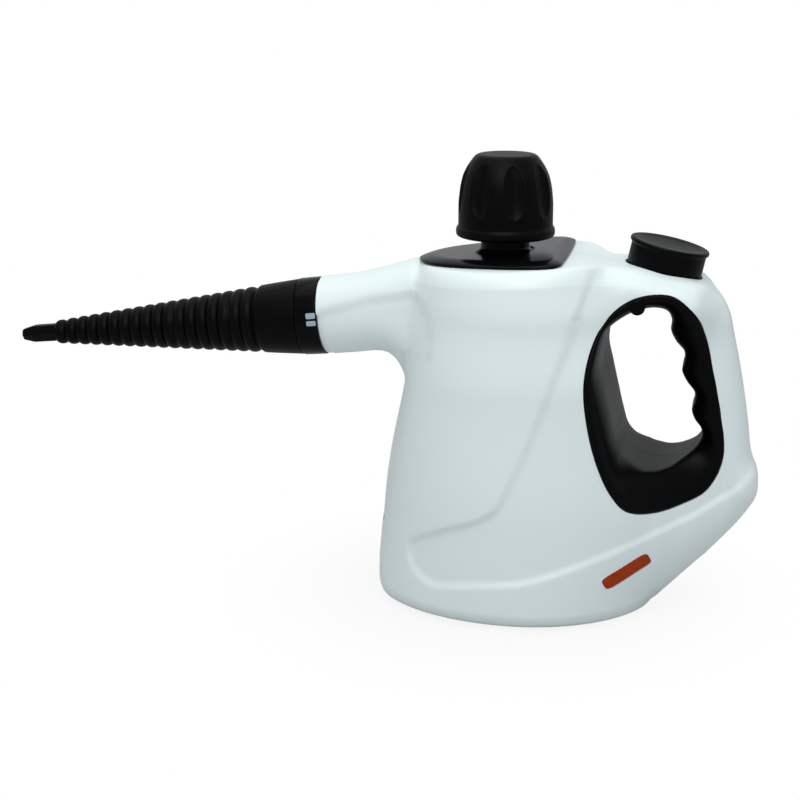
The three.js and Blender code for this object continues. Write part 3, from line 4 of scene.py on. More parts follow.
import bmesh
import bpy
import numpy as np
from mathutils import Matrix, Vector


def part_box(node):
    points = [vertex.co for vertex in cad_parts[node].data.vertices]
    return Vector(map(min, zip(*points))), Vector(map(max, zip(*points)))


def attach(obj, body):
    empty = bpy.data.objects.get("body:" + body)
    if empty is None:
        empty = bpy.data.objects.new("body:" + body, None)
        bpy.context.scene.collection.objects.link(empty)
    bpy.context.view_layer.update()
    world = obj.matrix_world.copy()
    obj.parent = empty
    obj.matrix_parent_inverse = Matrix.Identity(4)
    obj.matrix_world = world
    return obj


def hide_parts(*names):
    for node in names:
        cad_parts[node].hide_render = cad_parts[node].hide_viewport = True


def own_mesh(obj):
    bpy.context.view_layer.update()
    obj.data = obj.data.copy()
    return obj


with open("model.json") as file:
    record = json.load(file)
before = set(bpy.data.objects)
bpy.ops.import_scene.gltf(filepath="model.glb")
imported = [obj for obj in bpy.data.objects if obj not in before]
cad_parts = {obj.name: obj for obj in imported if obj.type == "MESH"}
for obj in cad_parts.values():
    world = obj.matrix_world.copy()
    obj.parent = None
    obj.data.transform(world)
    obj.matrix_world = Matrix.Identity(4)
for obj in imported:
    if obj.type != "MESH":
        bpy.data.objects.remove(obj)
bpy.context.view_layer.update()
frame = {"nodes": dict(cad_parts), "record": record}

# The photographer's place: a camera one metre off, a little to the nozzle's near side and above, with a
# long lens.
mm = 0.001
into_scene = bpy.context.scene.collection.objects.link
camera_place = Vector((0.1214, -0.9510, 0.3544))
camera_target = Vector((-0.0600, 0.0, 0.1040))
camera_data = bpy.data.cameras.new("studio_camera")
camera_data.sensor_width = 36.0
camera_data.lens = 81.81
camera = bpy.data.objects.new("studio_camera", camera_data)
camera.location = camera_place
camera.rotation_euler = (camera_target - camera_place).to_track_quat("-Z", "Y").to_euler()
into_scene(camera)
bpy.context.scene.camera = camera


# The studio: a pale sheet on the table that runs back out of sight, one wide soft lamp overhead, a
# smaller one from the front, and a room light that comes mostly from above and behind.
def node_with(tree, kind, sockets, **settings):
    """A new node of a kind. Each socket gets a constant, or a link from another node's output."""
    made = tree.nodes.new(kind)
    for name, value in settings.items():
        setattr(made, name, value)
    for socket, value in sockets.items():
        if isinstance(value, bpy.types.NodeSocket):
            tree.links.new(value, made.inputs[socket])
        else:
            made.inputs[socket].default_value = value
    return made


def material_named(name, sockets):
    """A node material with its shader, which has constants on its sockets, and its Object coordinates."""
    made = bpy.data.materials.new(name)
    made.use_nodes = True
    tree = made.node_tree
    tree.nodes.clear()
    shader = node_with(tree, "ShaderNodeBsdfPrincipled", sockets)
    node_with(tree, "ShaderNodeOutputMaterial", {"Surface": shader.outputs["BSDF"]})
    return made, tree, shader, tree.nodes.new("ShaderNodeTexCoord").outputs["Object"]


def carried_round(out, high, angle):
    """Points from their distance to the z axis, their height and their angle round it."""
    return np.stack([out * np.cos(angle), out * np.sin(angle), high], axis=-1)


def ring_faces(columns, rows):
    """Quads of a grid whose columns run round and close."""
    column, row = np.meshgrid(np.arange(columns), np.arange(rows - 1), indexing="ij")
    after = (column + 1) % columns
    corners = [column * rows + row, after * rows + row, after * rows + row + 1, column * rows + row + 1]
    return np.stack(corners, axis=-1).reshape(-1, 4)


floor_radius = np.linspace(0.0, 6.0, 12) + 0.001
floor_angle = np.arange(96)[:, None] * math.tau / 96
floor_points = carried_round(floor_radius, 0 * floor_radius * floor_angle, floor_angle).reshape(-1, 3)
floor_mesh = bpy.data.meshes.new("studio_floor")
floor_mesh.from_pydata(floor_points.tolist(), [], ring_faces(96, 12)[:, ::-1].tolist())
floor = bpy.data.objects.new("studio_floor", floor_mesh)
into_scene(floor)
floor_paper, tree, shader, place_on_floor = material_named(
    "floor_paper", {"Base Color": (0.62, 0.62, 0.62, 1.0), "Roughness": 0.9, "Specular IOR Level": 0.1})
white = (1.0, 1.0, 1.0, 1.0)
white_light = node_with(tree, "ShaderNodeEmission", {"Color": white})
away = node_with(tree, "ShaderNodeVectorMath", {0: place_on_floor}, operation="LENGTH")
fade = node_with(tree, "ShaderNodeMapRange", {
    "Value": away.outputs["Value"], "From Min": 0.04, "From Max": 0.17, "To Min": 0.86, "To Max": 1.0},
    interpolation_type="SMOOTHSTEP")
to_camera = tree.nodes.new("ShaderNodeLightPath").outputs["Is Camera Ray"]
seen = node_with(tree, "ShaderNodeMath", {0: fade.outputs["Result"], 1: to_camera}, operation="MULTIPLY")
blend = node_with(tree, "ShaderNodeMixShader", {
    "Fac": seen.outputs["Value"], 1: shader.outputs["BSDF"], 2: white_light.outputs["Emission"]})
tree.links.new(blend.outputs["Shader"], tree.nodes["Material Output"].inputs["Surface"])
floor.data.materials.append(floor_paper)


def soft_lamp(name, place, target, width, watts):
    """A square area lamp at a place, turned to its target."""
    data = bpy.data.lights.new(name, "AREA")
    data.shape = "SQUARE"
    data.size = width
    data.energy = watts
    lamp = bpy.data.objects.new(name, data)
    lamp.location = place
    lamp.rotation_euler = (Vector(target) - Vector(place)).to_track_quat("-Z", "Y").to_euler()
    into_scene(lamp)


soft_lamp("lamp_overhead", (-0.15, 0.05, 0.95), (-0.01, 0.0, 0.1), 0.7, 1.6)
soft_lamp("lamp_front", (0.02, -0.42, 0.62), (0.01, 0.0, 0.1), 0.45, 1.9)

room = bpy.data.worlds.new("studio_room")
room.use_nodes = True
tree = room.node_tree
room_light = tree.nodes["Background"]
room_light.inputs["Color"].default_value = (0.95, 0.98, 1.0, 1.0)
direction = tree.nodes.new("ShaderNodeTexCoord").outputs["Generated"]
from_above = node_with(tree, "ShaderNodeVectorMath", {0: direction, 1: (0.2, 0.75, 0.5)},
                       operation="DOT_PRODUCT")
glow = node_with(tree, "ShaderNodeMapRange", {
    "Value": from_above.outputs["Value"], "From Min": -0.6, "From Max": 0.7, "To Min": 0.40, "To Max": 0.70})
tree.links.new(glow.outputs["Result"], room_light.inputs["Strength"])
backdrop = node_with(tree, "ShaderNodeBackground", {"Color": white, "Strength": 1.0})
to_camera = tree.nodes.new("ShaderNodeLightPath").outputs["Is Camera Ray"]
blend = node_with(tree, "ShaderNodeMixShader", {
    "Fac": to_camera, 1: room_light.outputs["Background"], 2: backdrop.outputs["Background"]})
tree.links.new(blend.outputs["Shader"], tree.nodes["World Output"].inputs["Surface"])
bpy.context.scene.world = room
bpy.context.scene.view_settings.view_transform = "Standard"


# The body: two thin half shells moulded in white satin plastic, screwed together from the far side so
# that they meet in a fine line on the mid-plane. Their outside is an egg-shaped pod for the boiler, with
# the neck, the bridge under the button and the grip grown out of it, and a sunk panel round the handle.
body_length = 206.4
body_height = 187.5
body_half_width = 70.0
shell_wall = 2.2
seam_gap = 0.15
neck_radius = 21.3
neck_tilt = math.radians(5.84)
outline_shares = np.array([
    (-0.2374, 0.976), (-0.0242, 0.9915), (0.1744, 1.0059), (0.1841, 1.0066), (0.2108, 1.002),
    (0.2471, 0.9936), (0.3295, 0.9899), (0.407, 0.9739), (0.4748, 0.9552), (0.5044, 0.9381),
    (0.5257, 0.9136), (0.5446, 0.8917), (0.5562, 0.8693), (0.5659, 0.8442), (0.5732, 0.8085),
    (0.5916, 0.7205), (0.608, 0.631), (0.6221, 0.5387), (0.6342, 0.448), (0.6487, 0.4053),
    (0.655, 0.3653), (0.6507, 0.3307), (0.6347, 0.2987), (0.6061, 0.2539), (0.547, 0.1781),
    (0.4767, 0.0992), (0.4264, 0.0427), (0.4021, 0.0171), (0.3779, 0.0053), (0.19, 0.0053),
    (0.0, 0.0053), (-0.19, 0.0053), (-0.29, 0.0053), (-0.3198, 0.0139), (-0.3382, 0.0373),
    (-0.345, 0.0693), (-0.3421, 0.1195), (-0.3338, 0.2192), (-0.3256, 0.3179), (-0.3091, 0.44),
    (-0.2955, 0.5131), (-0.282, 0.5856), (-0.2771, 0.624), (-0.2878, 0.6571), (-0.3014, 0.6805),
    (-0.3178, 0.6949)])
neck_top_shares = np.array([(0, 1), (0.0516, 1.015), (0.1063, 1.05), (0.16, 1.125), (0.2136, 1.22),
                            (0.258, 1.31)])
neck_under_shares = np.array([(0.1465, 1.005), (0.064, 1), (0, 1)])
mouth = np.array([-0.4918 * body_length, 0.8011 * body_height])
neck_way = np.array([-math.cos(neck_tilt), -math.sin(neck_tilt)])
neck_up = np.array([-math.sin(neck_tilt), math.cos(neck_tilt)])
rim_shares = np.array([
    (0.3831, 0.927, 0.3779, 0.8789, 0.47), (0.4268, 0.9216, 0.4094, 0.8704, 0.47),
    (0.469, 0.8875, 0.4205, 0.8464, 0.45), (0.4918, 0.8533, 0.4191, 0.8117, 0.42),
    (0.5029, 0.8187, 0.4327, 0.7787, 0.42), (0.5121, 0.784, 0.4535, 0.7493, 0.42),
    (0.5194, 0.7493, 0.455, 0.7227, 0.42), (0.5262, 0.712, 0.4501, 0.6923, 0.42),
    (0.5349, 0.6724, 0.4637, 0.6613, 0.42), (0.5431, 0.6291, 0.483, 0.6336, 0.42),
    (0.5494, 0.5971, 0.484, 0.6053, 0.42), (0.5538, 0.5653, 0.4787, 0.5787, 0.42),
    (0.5591, 0.536, 0.4864, 0.5547, 0.42), (0.563, 0.5013, 0.5029, 0.5307, 0.42),
    (0.563, 0.464, 0.5058, 0.5024, 0.42), (0.5504, 0.4101, 0.4932, 0.4768, 0.55),
    (0.52, 0.3627, 0.4632, 0.4507, 0.72), (0.4676, 0.3353, 0.4312, 0.432, 0.82),
    (0.4176, 0.3211, 0.3983, 0.4261, 0.82), (0.3685, 0.3221, 0.3643, 0.4315, 0.75),
    (0.3273, 0.3407, 0.3285, 0.4512, 0.52), (0.2932, 0.388, 0.3072, 0.4747, 0.46),
    (0.266, 0.4491, 0.2926, 0.5237, 0.48), (0.2398, 0.5397, 0.2791, 0.5835, 0.49),
    (0.2233, 0.6425, 0.2636, 0.6528, 0.49), (0.2214, 0.7131, 0.2495, 0.7189, 0.49),
    (0.234, 0.7899, 0.2548, 0.7797, 0.5), (0.2563, 0.8464, 0.2664, 0.824, 0.52),
    (0.29, 0.8874, 0.3028, 0.8533, 0.5), (0.3331, 0.9153, 0.3391, 0.8714, 0.5)])
# Which place on the outline each place of the opening's rim faces: (x, z), and the rim's row.
facing_rows = np.array([
    (-49, 183, 27.5), (37, 188.7, 28.6), (68, 185.6, 29.4), (84, 182.6, 30.4), (104, 177.6, 31.4),
    (114.8, 165, 32.3), (118, 153, 33.1), (125, 118, 40), (130.9, 84, 44.6), (135.2, 68.5, 45.6),
    (131, 56, 46.2), (113, 33, 47.2), (98, 18, 48.2), (78, 1, 49.3), (40, 1, 50.5), (0, 1, 51.5),
    (-60, 1, 52.85), (-71, 13, 53), (-67, 60, 53.9), (-57, 117, 55.4), (-65.6, 130.3, 56.2),
    (-99.3, 129, 56.75), (-103.7, 171.4, 57.1)])
# The sunk panel's edge, and the crease under which the neck and the pod's front fall back, as (x, z).
panel_edge = np.array([
    (50, 198), (48, 190), (43, 173), (37, 151), (30, 132), (24, 114), (19, 100), (11, 81), (6, 70), (2, 64),
    (-8, 58), (-25, 51), (-39, 44), (-45, 39), (-46, 33), (-43, 26), (-38, 22), (-30, 20), (-8, 24), (16, 27),
    (33, 32), (53, 39), (78, 47), (102, 56), (121, 67), (132, 77)])
panel_corners = np.array([(220, 90), (220, 260), (50, 260)])
panel_depth = 2.1
scoop_edge = np.array([
    (-100, 155), (-87, 159), (-74, 163), (-63, 165), (-53, 167), (-47, 167), (-42, 164), (-39, 159),
    (-37, 153), (-36, 148), (-38, 140), (-44, 127), (-50, 113), (-55, 99), (-59, 81), (-63, 60),
    (-66, 38)])
scoop_corners = np.array([(-140, 38), (-140, 148)])
scoop_depth = 2.4


def curve_through(points, closed, places):
    """Centripetal Catmull-Rom curve: knots lie as far apart as the square root of the points' distance,
    and each stretch is the cubic with its ends' slopes. A place is counted in points from the first."""
    points = np.asarray(points, dtype=float)
    count = len(points)
    if closed:
        longer, last = np.vstack([points[-1:], points, points[:2]]), count - 1
    else:
        longer, last = np.vstack([2 * points[0] - points[1], points, 2 * points[-1] - points[-2]]), count - 2
    start = np.clip(np.floor(places).astype(int), 0, last)
    share = places - start
    p0, p1, p2, p3 = (longer[start + k] for k in range(4))
    d0, d1, d2 = (np.linalg.norm(b - a, axis=-1, keepdims=True) ** 0.5 + 1e-9
                  for a, b in ((p0, p1), (p1, p2), (p2, p3)))
    slope1 = ((p1 - p0) / d0 - (p2 - p0) / (d0 + d1) + (p2 - p1) / d1) * d1
    slope2 = ((p2 - p1) / d1 - (p3 - p1) / (d1 + d2) + (p3 - p2) / d2) * d1
    w = share[:, None]
    return (p1 + slope1 * w + (3 * (p2 - p1) - 2 * slope1 - slope2) * w ** 2
            + (2 * (p1 - p2) + slope1 + slope2) * w ** 3)


def lengths_along(run):
    """How far along a run of points each of them lies."""
    return np.concatenate([[0], np.cumsum(np.linalg.norm(np.diff(run, axis=0), axis=1))])


def points_at(places, along, run):
    """Points of a run at places along it, on the straight line between two of its points."""
    return np.stack([np.interp(places, along, values) for values in run.T], axis=-1)


def evenly(points, closed, count):
    """The same run of points with even steps: the length along it is shared out and read back."""
    run = np.vstack([points, points[:1]]) if closed else points
    along = lengths_along(run)
    made = points_at(np.linspace(0, along[-1], count + 1), along, run)
    return made[:-1] if closed else made


def neck_edge(shares, side):
    """Points on the neck's edge: so far behind the mouth along the neck, and so far from its axis."""
    back, out = shares[:, :1] * body_length, shares[:, 1:] * neck_radius
    return mouth - back * neck_way + side * out * neck_up


size = np.array([body_length, body_height])
outline_points = np.vstack([neck_edge(neck_top_shares, 1), outline_shares * size,
                            neck_edge(neck_under_shares, -1)])
outline = evenly(curve_through(outline_points, False, np.linspace(0, len(outline_points) - 1, 2400)), False,
                 420)
outline[:, 1] = np.maximum(outline[:, 1], 1.0)
past_mouth = 2 * neck_radius * neck_way
edge_run = np.vstack([outline[0] + past_mouth, outline, outline[-1] + past_mouth])


def distance_to(run, place):
    """How far places lie from a run of straight pieces: the least distance to any of the pieces."""
    start, step = run[:-1], np.diff(run, axis=0)
    parts = []
    for some in np.array_split(place, len(place) // 4000 + 1):
        gap = some[:, None, :] - start
        share = np.clip((gap * step).sum(-1) / np.maximum((step ** 2).sum(-1), 1e-12), 0, 1)
        parts.append(np.linalg.norm(gap - share[..., None] * step, axis=-1).min(axis=1))
    return np.concatenate(parts)


def inside_of(loop, place):
    """Which places lie inside a loop: a line out to the right crosses it an odd number of times."""
    (ax, az), (bx, bz) = loop.T, np.roll(loop, -1, axis=0).T
    x, z = place[:, :1], place[:, 1:]
    spans = (az > z) != (bz > z)
    crossing = ax + (bx - ax) * (z - az) / np.where(spans, bz - az, 1.0)
    return (spans & (x < crossing)).sum(axis=1) % 2 == 1


def smooth(low, high, value):
    """Smoothstep: 0 below low, 1 above high, 3w^2 - 2w^3 between."""
    w = np.clip((value - low) / (high - low), 0, 1)
    return w * w * (3 - 2 * w)


def quarter_round(share):
    """A quarter circle's rise over the share of its radius."""
    return np.sqrt(np.clip(1 - (1 - np.clip(share, 0, 1)) ** 2, 0, 1))


def table_at(rows, place):
    """A table's values at places between its rows, eased from row to row by smoothstep."""
    k = np.clip(np.searchsorted(rows[:, 0], place, side="right") - 1, 0, len(rows) - 2)
    share = smooth(rows[k, 0], rows[k + 1, 0], place)[:, None]
    return rows[k, 1:] + (rows[k + 1, 1:] - rows[k, 1:]) * share


# The pod by height: the share of the body's height, of its half width, and of its length behind the middle.
pod_shares = np.array([(0, 1, 0.354), (0.3, 1, 0.407), (0.65, 0.93, 0.368), (0.85, 0.86, 0.29),
                       (1, 0.8, 0.237)])
pod_middle = 0.05 * body_length
pod_edge = 8.0
handle_half = 21.0
handle_edge = 15.0
bridge_wider = 13.0
bridge_sharper = 1.0
flank_from = 84.0
flank_to = 116.0
flank_slope = 0.5


def body_side(place):
    """Half width of the body over its outline, y = h(x, z). The pod is an ellipse in plan whose front and
    rear reach and width change with height. The arm is the neck, the bridge and the grip, each of one
    half width, with a flank low down that grows forwards. Both fall off at the outline as a quarter circle
    of the edge's distance. The two are joined as (a + b + hypot(a - b, blend)) / 2, and the sunk panel and
    the crease are taken off."""
    x, z = place.T
    edge = distance_to(edge_run, place)
    rise = z / body_height
    width, rear = table_at(pod_shares, rise).T
    front = (-0.3525 + 0.1235 * rise) * body_length
    away = np.abs(x - pod_middle) / np.where(x < pod_middle, pod_middle - front, rear * body_length)
    full = body_half_width * width * np.where(away < 1, np.sqrt(np.maximum(1 - away ** 2, 0)), (1 - away) * 2)
    pod = full - pod_edge * (1 - quarter_round(edge / pod_edge))
    to_bridge = smooth(0.75, 0.9, rise) * (1 - smooth(0.476, 0.56, x / body_length))
    in_neck = 1 - smooth(-0.2, 0, x / body_length)
    flank = flank_slope * (flank_to - np.clip(x, flank_from, flank_to)) * (1 - smooth(0.36, 0.5, rise))
    arm_half = handle_half + flank + (bridge_wider - flank) * to_bridge
    arm_half = arm_half * (1 - in_neck) + neck_radius * in_neck
    arm_round = handle_edge + flank - (bridge_sharper + flank) * to_bridge
    arm_round = arm_round * (1 - in_neck) + neck_radius * in_neck
    arm = arm_half - arm_round * (1 - quarter_round(edge / arm_round))
    whole = (pod + arm + np.hypot(pod - arm, pod_edge * np.minimum(1, edge / pod_edge))) / 2
    for run, corners, depth, soft in ((panel_edge, panel_corners, panel_depth, 2.3),
                                      (scoop_edge, scoop_corners, scoop_depth, 3.4)):
        beyond = np.where(inside_of(np.vstack([run, corners]), place), 1, -1) * distance_to(run, place)
        whole = whole - depth * smooth(-soft, soft, beyond)
    return np.maximum(whole, 0.3)


rim_columns = np.arange(0, 30, 0.02)
rim_outside = curve_through(rim_shares[:, 0:2] * size, True, rim_columns)
rim_inside = curve_through(rim_shares[:, 2:4] * size, True, rim_columns)


def on_loop(run, rows):
    """Points of a closed rim curve at rows of its table."""
    return points_at(rows % 30, np.append(rim_columns, 30), np.vstack([run, run[:1]]))


def rim_at(rows, margin):
    """The opening's rim at rows of its table, moved outwards by a margin."""
    outside, inside = on_loop(rim_outside, rows), on_loop(rim_inside, rows)
    away = outside - inside
    return outside + margin * away / np.linalg.norm(away, axis=-1, keepdims=True)


ring_count = 420
strip_rows = 12
side_rows = 84
mouth_line = evenly(np.vstack([outline[-1], outline[0]]), False, 24)[1:-1]
body_loop = np.vstack([outline, mouth_line])
closed_loop = np.vstack([body_loop, body_loop[:1]])
loop_along = lengths_along(closed_loop)
nearest = [np.argmin(np.linalg.norm(body_loop - place, axis=1)) for place in facing_rows[:, :2]]
facing_along = loop_along[nearest]
lining_margin = 0.45
row_crowding = 1.6


def at_side(place, side):
    """Points from their (x, z) places and how far they lie to the near side."""
    return np.stack([place[..., 0], -side, place[..., 1]], axis=-1)


def body_place(column, row):
    """A point of the left shell. The column runs round the body. The first rows cross the flat edge from
    the seam, and the others go along a straight line from the outline to the opening's rim, closer at the
    outline, with y = -h(x, z)."""
    along = (column % ring_count) * loop_along[-1] / ring_count
    outer = points_at(along, loop_along, closed_loop)
    low, high = facing_along[0], loop_along[-1] + facing_along[0]
    turned = np.where(along < low, along + loop_along[-1], along)
    facing = np.interp(turned, np.append(facing_along, high),
                       np.append(facing_rows[:, 2], facing_rows[0, 2] + 30))
    inner = rim_at(facing, lining_margin)
    share = np.clip((row - strip_rows) / side_rows, 0, 1)[:, None] ** row_crowding
    place = outer + (inner - outer) * share
    side = body_side(place)
    across = np.where(row < strip_rows, seam_gap + (side - seam_gap) * np.clip(row / strip_rows, 0, 1), side)
    return at_side(place, across)


def shell_with_holes(holes):
    """The left shell's grid with openings. Each hole is a function that is below zero inside. Quads whose
    middle is inside go, and the points left on the border step along the grid until the function is
    zero: a Newton step in column and row, repeated."""
    rows = strip_rows + side_rows + 1
    grid = np.meshgrid(np.arange(ring_count), np.arange(rows), indexing="ij")
    column, row = (places.reshape(-1).astype(float) for places in grid)
    points = body_place(column, row)
    faces = ring_faces(ring_count, rows)
    at_mouth = math.sqrt(2) * np.abs((points[:, [0, 2]] - mouth) @ neck_way) < 0.05
    keep = ~((row[faces] <= strip_rows).all(axis=1) & at_mouth[faces].all(axis=1))
    for hole in holes:
        middle = points[faces].mean(axis=1)
        gone = (hole(middle) < 0) & keep
        border = np.intersect1d(faces[gone], faces[keep & ~gone])
        keep &= ~gone
        for _ in range(6):
            here = hole(points[border])
            by_column = hole(body_place(column[border] + 0.02, row[border])) - here
            by_row = hole(body_place(column[border], row[border] + 0.02)) - here
            steep = np.maximum(by_column ** 2 + by_row ** 2, 1e-9) / 0.02
            column[border] -= np.clip(here * by_column / steep, -0.7, 0.7)
            row[border] -= np.clip(here * by_row / steep, -0.7, 0.7)
            points[border] = body_place(column[border], row[border])
    return points, faces[keep]


finishes = {}


def finish(name, tints, gloss, cloud, grain, bump, sockets):
    """A finish made of two noises over Object coordinates. The slow cloud mixes the two tints, and wanders
    from one roughness to the other where two are given. The fine grain is the height of the bump. A noise
    is given by its scale and detail, and the bump by its strength and depth."""
    made, tree, shader, place = material_named(name, {"Roughness": gloss[0], **sockets})
    slow, fine = (node_with(tree, "ShaderNodeTexNoise", {"Vector": place, "Scale": scale, "Detail": detail})
                  for scale, detail in (cloud, grain))
    share = slow.outputs["Fac"]
    tint = node_with(tree, "ShaderNodeMix", {"Factor": share, 6: (*tints[0], 1.0), 7: (*tints[1], 1.0)},
                     data_type="RGBA")
    tree.links.new(tint.outputs[2], shader.inputs["Base Color"])
    if len(gloss) == 2:
        wander = node_with(tree, "ShaderNodeMapRange", {
            "Value": share, "To Min": gloss[0], "To Max": gloss[1]})
        tree.links.new(wander.outputs["Result"], shader.inputs["Roughness"])
    relief = node_with(tree, "ShaderNodeBump", {
        "Height": fine.outputs["Fac"], "Strength": bump[0], "Distance": bump[1]})
    tree.links.new(relief.outputs["Normal"], shader.inputs["Normal"])
    finishes[name] = made


# Satin white plastic with a faint cool cast and a fine spark texture from the mould.
finish("shell_white", ((0.765, 0.862, 0.870), (0.805, 0.893, 0.900)), (0.31, 0.42), (9.0, 2.0), (900.0, 3.0),
       (0.12, 0.0001), {"IOR": 1.49})


def add_piece(name, points, faces, slot, body="housing", wall=0.0, crease=32.0):
    """A piece from points in millimetres and faces, in the finish of its slot. Points that meet are joined,
    which closes poles and seams. A wall gives a skin its thickness inwards. Edges sharper than the crease
    stay sharp. A printed mark's finish isn't a slot of the record."""
    mesh = bpy.data.meshes.new(name)
    mesh.from_pydata((np.asarray(points) * mm).tolist(), [], np.asarray(faces).tolist())
    shape = bmesh.new()
    shape.from_mesh(mesh)
    bmesh.ops.remove_doubles(shape, verts=shape.verts, dist=1e-6)
    shape.to_mesh(mesh)
    shape.free()
    piece = bpy.data.objects.new(name, mesh)
    into_scene(piece)
    if wall:
        skin = piece.modifiers.new("wall", "SOLIDIFY")
        skin.thickness = wall * mm
        skin.offset = -1.0
        thick = bpy.data.meshes.new_from_object(piece.evaluated_get(bpy.context.evaluated_depsgraph_get()))
        piece.modifiers.clear()
        piece.data = thick
    piece.data.shade_smooth()
    piece.data.set_sharp_from_angle(angle=math.radians(crease))
    piece.data.materials.append(finishes[slot])
    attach(piece, body)
    return piece


def add_ring(name, grid, slot, body="housing", turned_over=False, **more):
    """A piece from a grid of points whose columns run round and close. The grid's direction sets which way
    the faces look, and turned over they look the other way. A wall or crease goes on to add_piece."""
    faces = ring_faces(*grid.shape[:2])
    faces = faces[:, ::-1] if turned_over else faces
    return add_piece(name, grid.reshape(-1, 3), faces, slot, body, **more)


button_place = np.array([0.3949 * body_length, 0.0, 0.9792 * body_height])
button_tilt = math.radians(12.0)
cap_x = -0.0145 * body_length
lens_place = np.array([0.3375 * body_length, 0.1587 * body_height])
lens_tilt = math.radians(27.0)
lens_ways = np.array([(math.cos(lens_tilt), math.sin(lens_tilt)),
                      (-math.sin(lens_tilt), math.cos(lens_tilt))])
lens_half = np.array([12.25, 3.5])
gland_tilt = math.pi - math.atan2(0.0789 * body_height, 0.0703 * body_length)
gland_place = np.array([0.5239 * body_length, 0.0, 0.151 * body_height])
button_hole_radius = 20.7
filler_bore = 12.1
gland_hole_radius = 5.3
screw_hole_radius = 3.1
hole_reach = 60.0
lens_play = 0.3
screw_shares = np.array([(-0.3, 0.931), (-0.2544, 0.576), (-0.291, 0.064), (0.3585, 0.064), (0.591, 0.352),
                         (0.5175, 0.884)])
screw_places = screw_shares * size


def leaning(tilt):
    """The direction that leans by the tilt from up towards +X."""
    return np.array([math.sin(tilt), 0.0, math.cos(tilt)])


def round_hole(place, tilt, radius):
    """A round hole along a leaning axis, as a function of points: how far they lie beyond its radius. It
    ends at its reach below its place, so that the wall across the body stays whole."""
    way = leaning(tilt)

    def hole(points):
        gap = points - place
        along = gap @ way
        out = np.linalg.norm(gap - along[:, None] * way, axis=1) - radius
        return np.maximum(out, -along - hole_reach)

    return hole


def lens_window(points):
    """The window of the lamp's lens: a bar with rounded ends, |u/a|^8 + |v/b|^4.4 = 1 in its own turned
    directions."""
    u, v = ((points[:, [0, 2]] - lens_place) @ lens_ways.T).T
    along, across = lens_half + lens_play
    return ((np.abs(u / along) ** 8 + np.abs(v / across) ** 4.4) ** 0.2 - 1) * across


def screw_hole(points):
    """The sunk holes of the six screws."""
    away = [np.hypot(points[:, 0] - x, points[:, 2] - z) for x, z in screw_places]
    return np.min(away, axis=0) - screw_hole_radius


round_holes = [round_hole(button_place, button_tilt, button_hole_radius),
               round_hole((cap_x, 0, body_height), 0.0, filler_bore),
               round_hole(gland_place, gland_tilt, gland_hole_radius)]
left_points, left_faces = shell_with_holes([*round_holes, lens_window])
right_points, right_faces = shell_with_holes([*round_holes, screw_hole])
other_side = (1, -1, 1)
body_left = add_piece("shell_left", left_points, left_faces[:, ::-1], "shell_white", wall=shell_wall,
                      crease=55)
body_right = add_piece("shell_right", right_points * other_side, right_faces, "shell_white", wall=shell_wall,
                       crease=55)
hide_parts("body_shell_left")
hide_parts("body_shell_right")


# The handle's lining: two black halves that snap into the opening. Each rolls in over the shell's edge as
# a bull nose and runs on as a straight tunnel to the mid-plane, with finger grooves along the grip.
lining_rows = 360
nose_steps = 16
lining_wall = 1.8
lining_lip = 1.1
lining_proud = 0.5
lining_tuck = 2.0


def lining_points():
    """The left half as a grid of rim row and section. The section starts under the shell's edge, rounds
    over a small lip, and follows a quarter of an ellipse, out = width (1 - sin a) and y = the rim's height
    less drop (1 - cos a), to the tunnel's edge, from which it runs straight to the mid-plane."""
    rows = np.arange(lining_rows) * 30.0 / lining_rows
    outside = rim_at(rows, 0.0)
    inside = on_loop(rim_inside, rows)
    lip = np.interp(rows, np.arange(31), np.append(rim_shares[:, 4], rim_shares[0, 4]))
    away = outside - inside
    width = np.linalg.norm(away, axis=-1)
    away /= width[:, None]
    surface = body_side(rim_at(rows, lining_margin))[:, None]
    drop = surface * (1 - lip[:, None])
    to_lip = width[:, None] - lining_lip
    share = np.linspace(0, 1, nose_steps)
    angle = share * (0.25 + 0.75 * share) * math.pi / 2
    out = to_lip - to_lip * np.sin(angle)
    high = surface + lining_proud - (drop + lining_proud) * (1 - np.cos(angle))
    lip_turn = np.linspace(0, 1, 6)[:-1] * math.pi / 2
    lip_out = to_lip + lining_lip * np.cos(lip_turn)
    lip_high = surface + lining_proud - lining_lip + lining_lip * np.sin(lip_turn)
    wall_share = np.linspace(0, 1, 8)[1:]
    wall_high = (surface - drop) * (1 - wall_share) + seam_gap * wall_share
    out = np.hstack([width[:, None], lip_out, out, 0 * wall_high])
    high = np.hstack([surface - lining_tuck, lip_high, high, wall_high])
    return at_side(inside[:, None, :] + away[:, None, :] * out[..., None], high)


def plastic(name, colour, low, high, grain_scale, grain_depth):
    """Moulded plastic, mostly black: the colour up to 1.35 times as light in clouds, its gloss from low to
    high roughness, over the mould's grain."""
    lighter = [value * 1.35 for value in colour]
    finish(name, (colour, lighter), (low, high), (14.0, 2.0), (grain_scale, 4.0), (0.35, grain_depth),
           {"IOR": 1.4, "Specular IOR Level": 0.10})


plastic("matte_black", (0.0010, 0.0011, 0.0014), 0.34, 0.44, 1400.0, 0.00010)
lining = lining_points()
lining_left = add_ring("lining_left", lining, "matte_black", wall=lining_wall, turned_over=True)
lining_right = add_ring("lining_right", lining * other_side, "matte_black", wall=lining_wall)
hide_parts("handle_insert_left")
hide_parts("handle_insert_right")


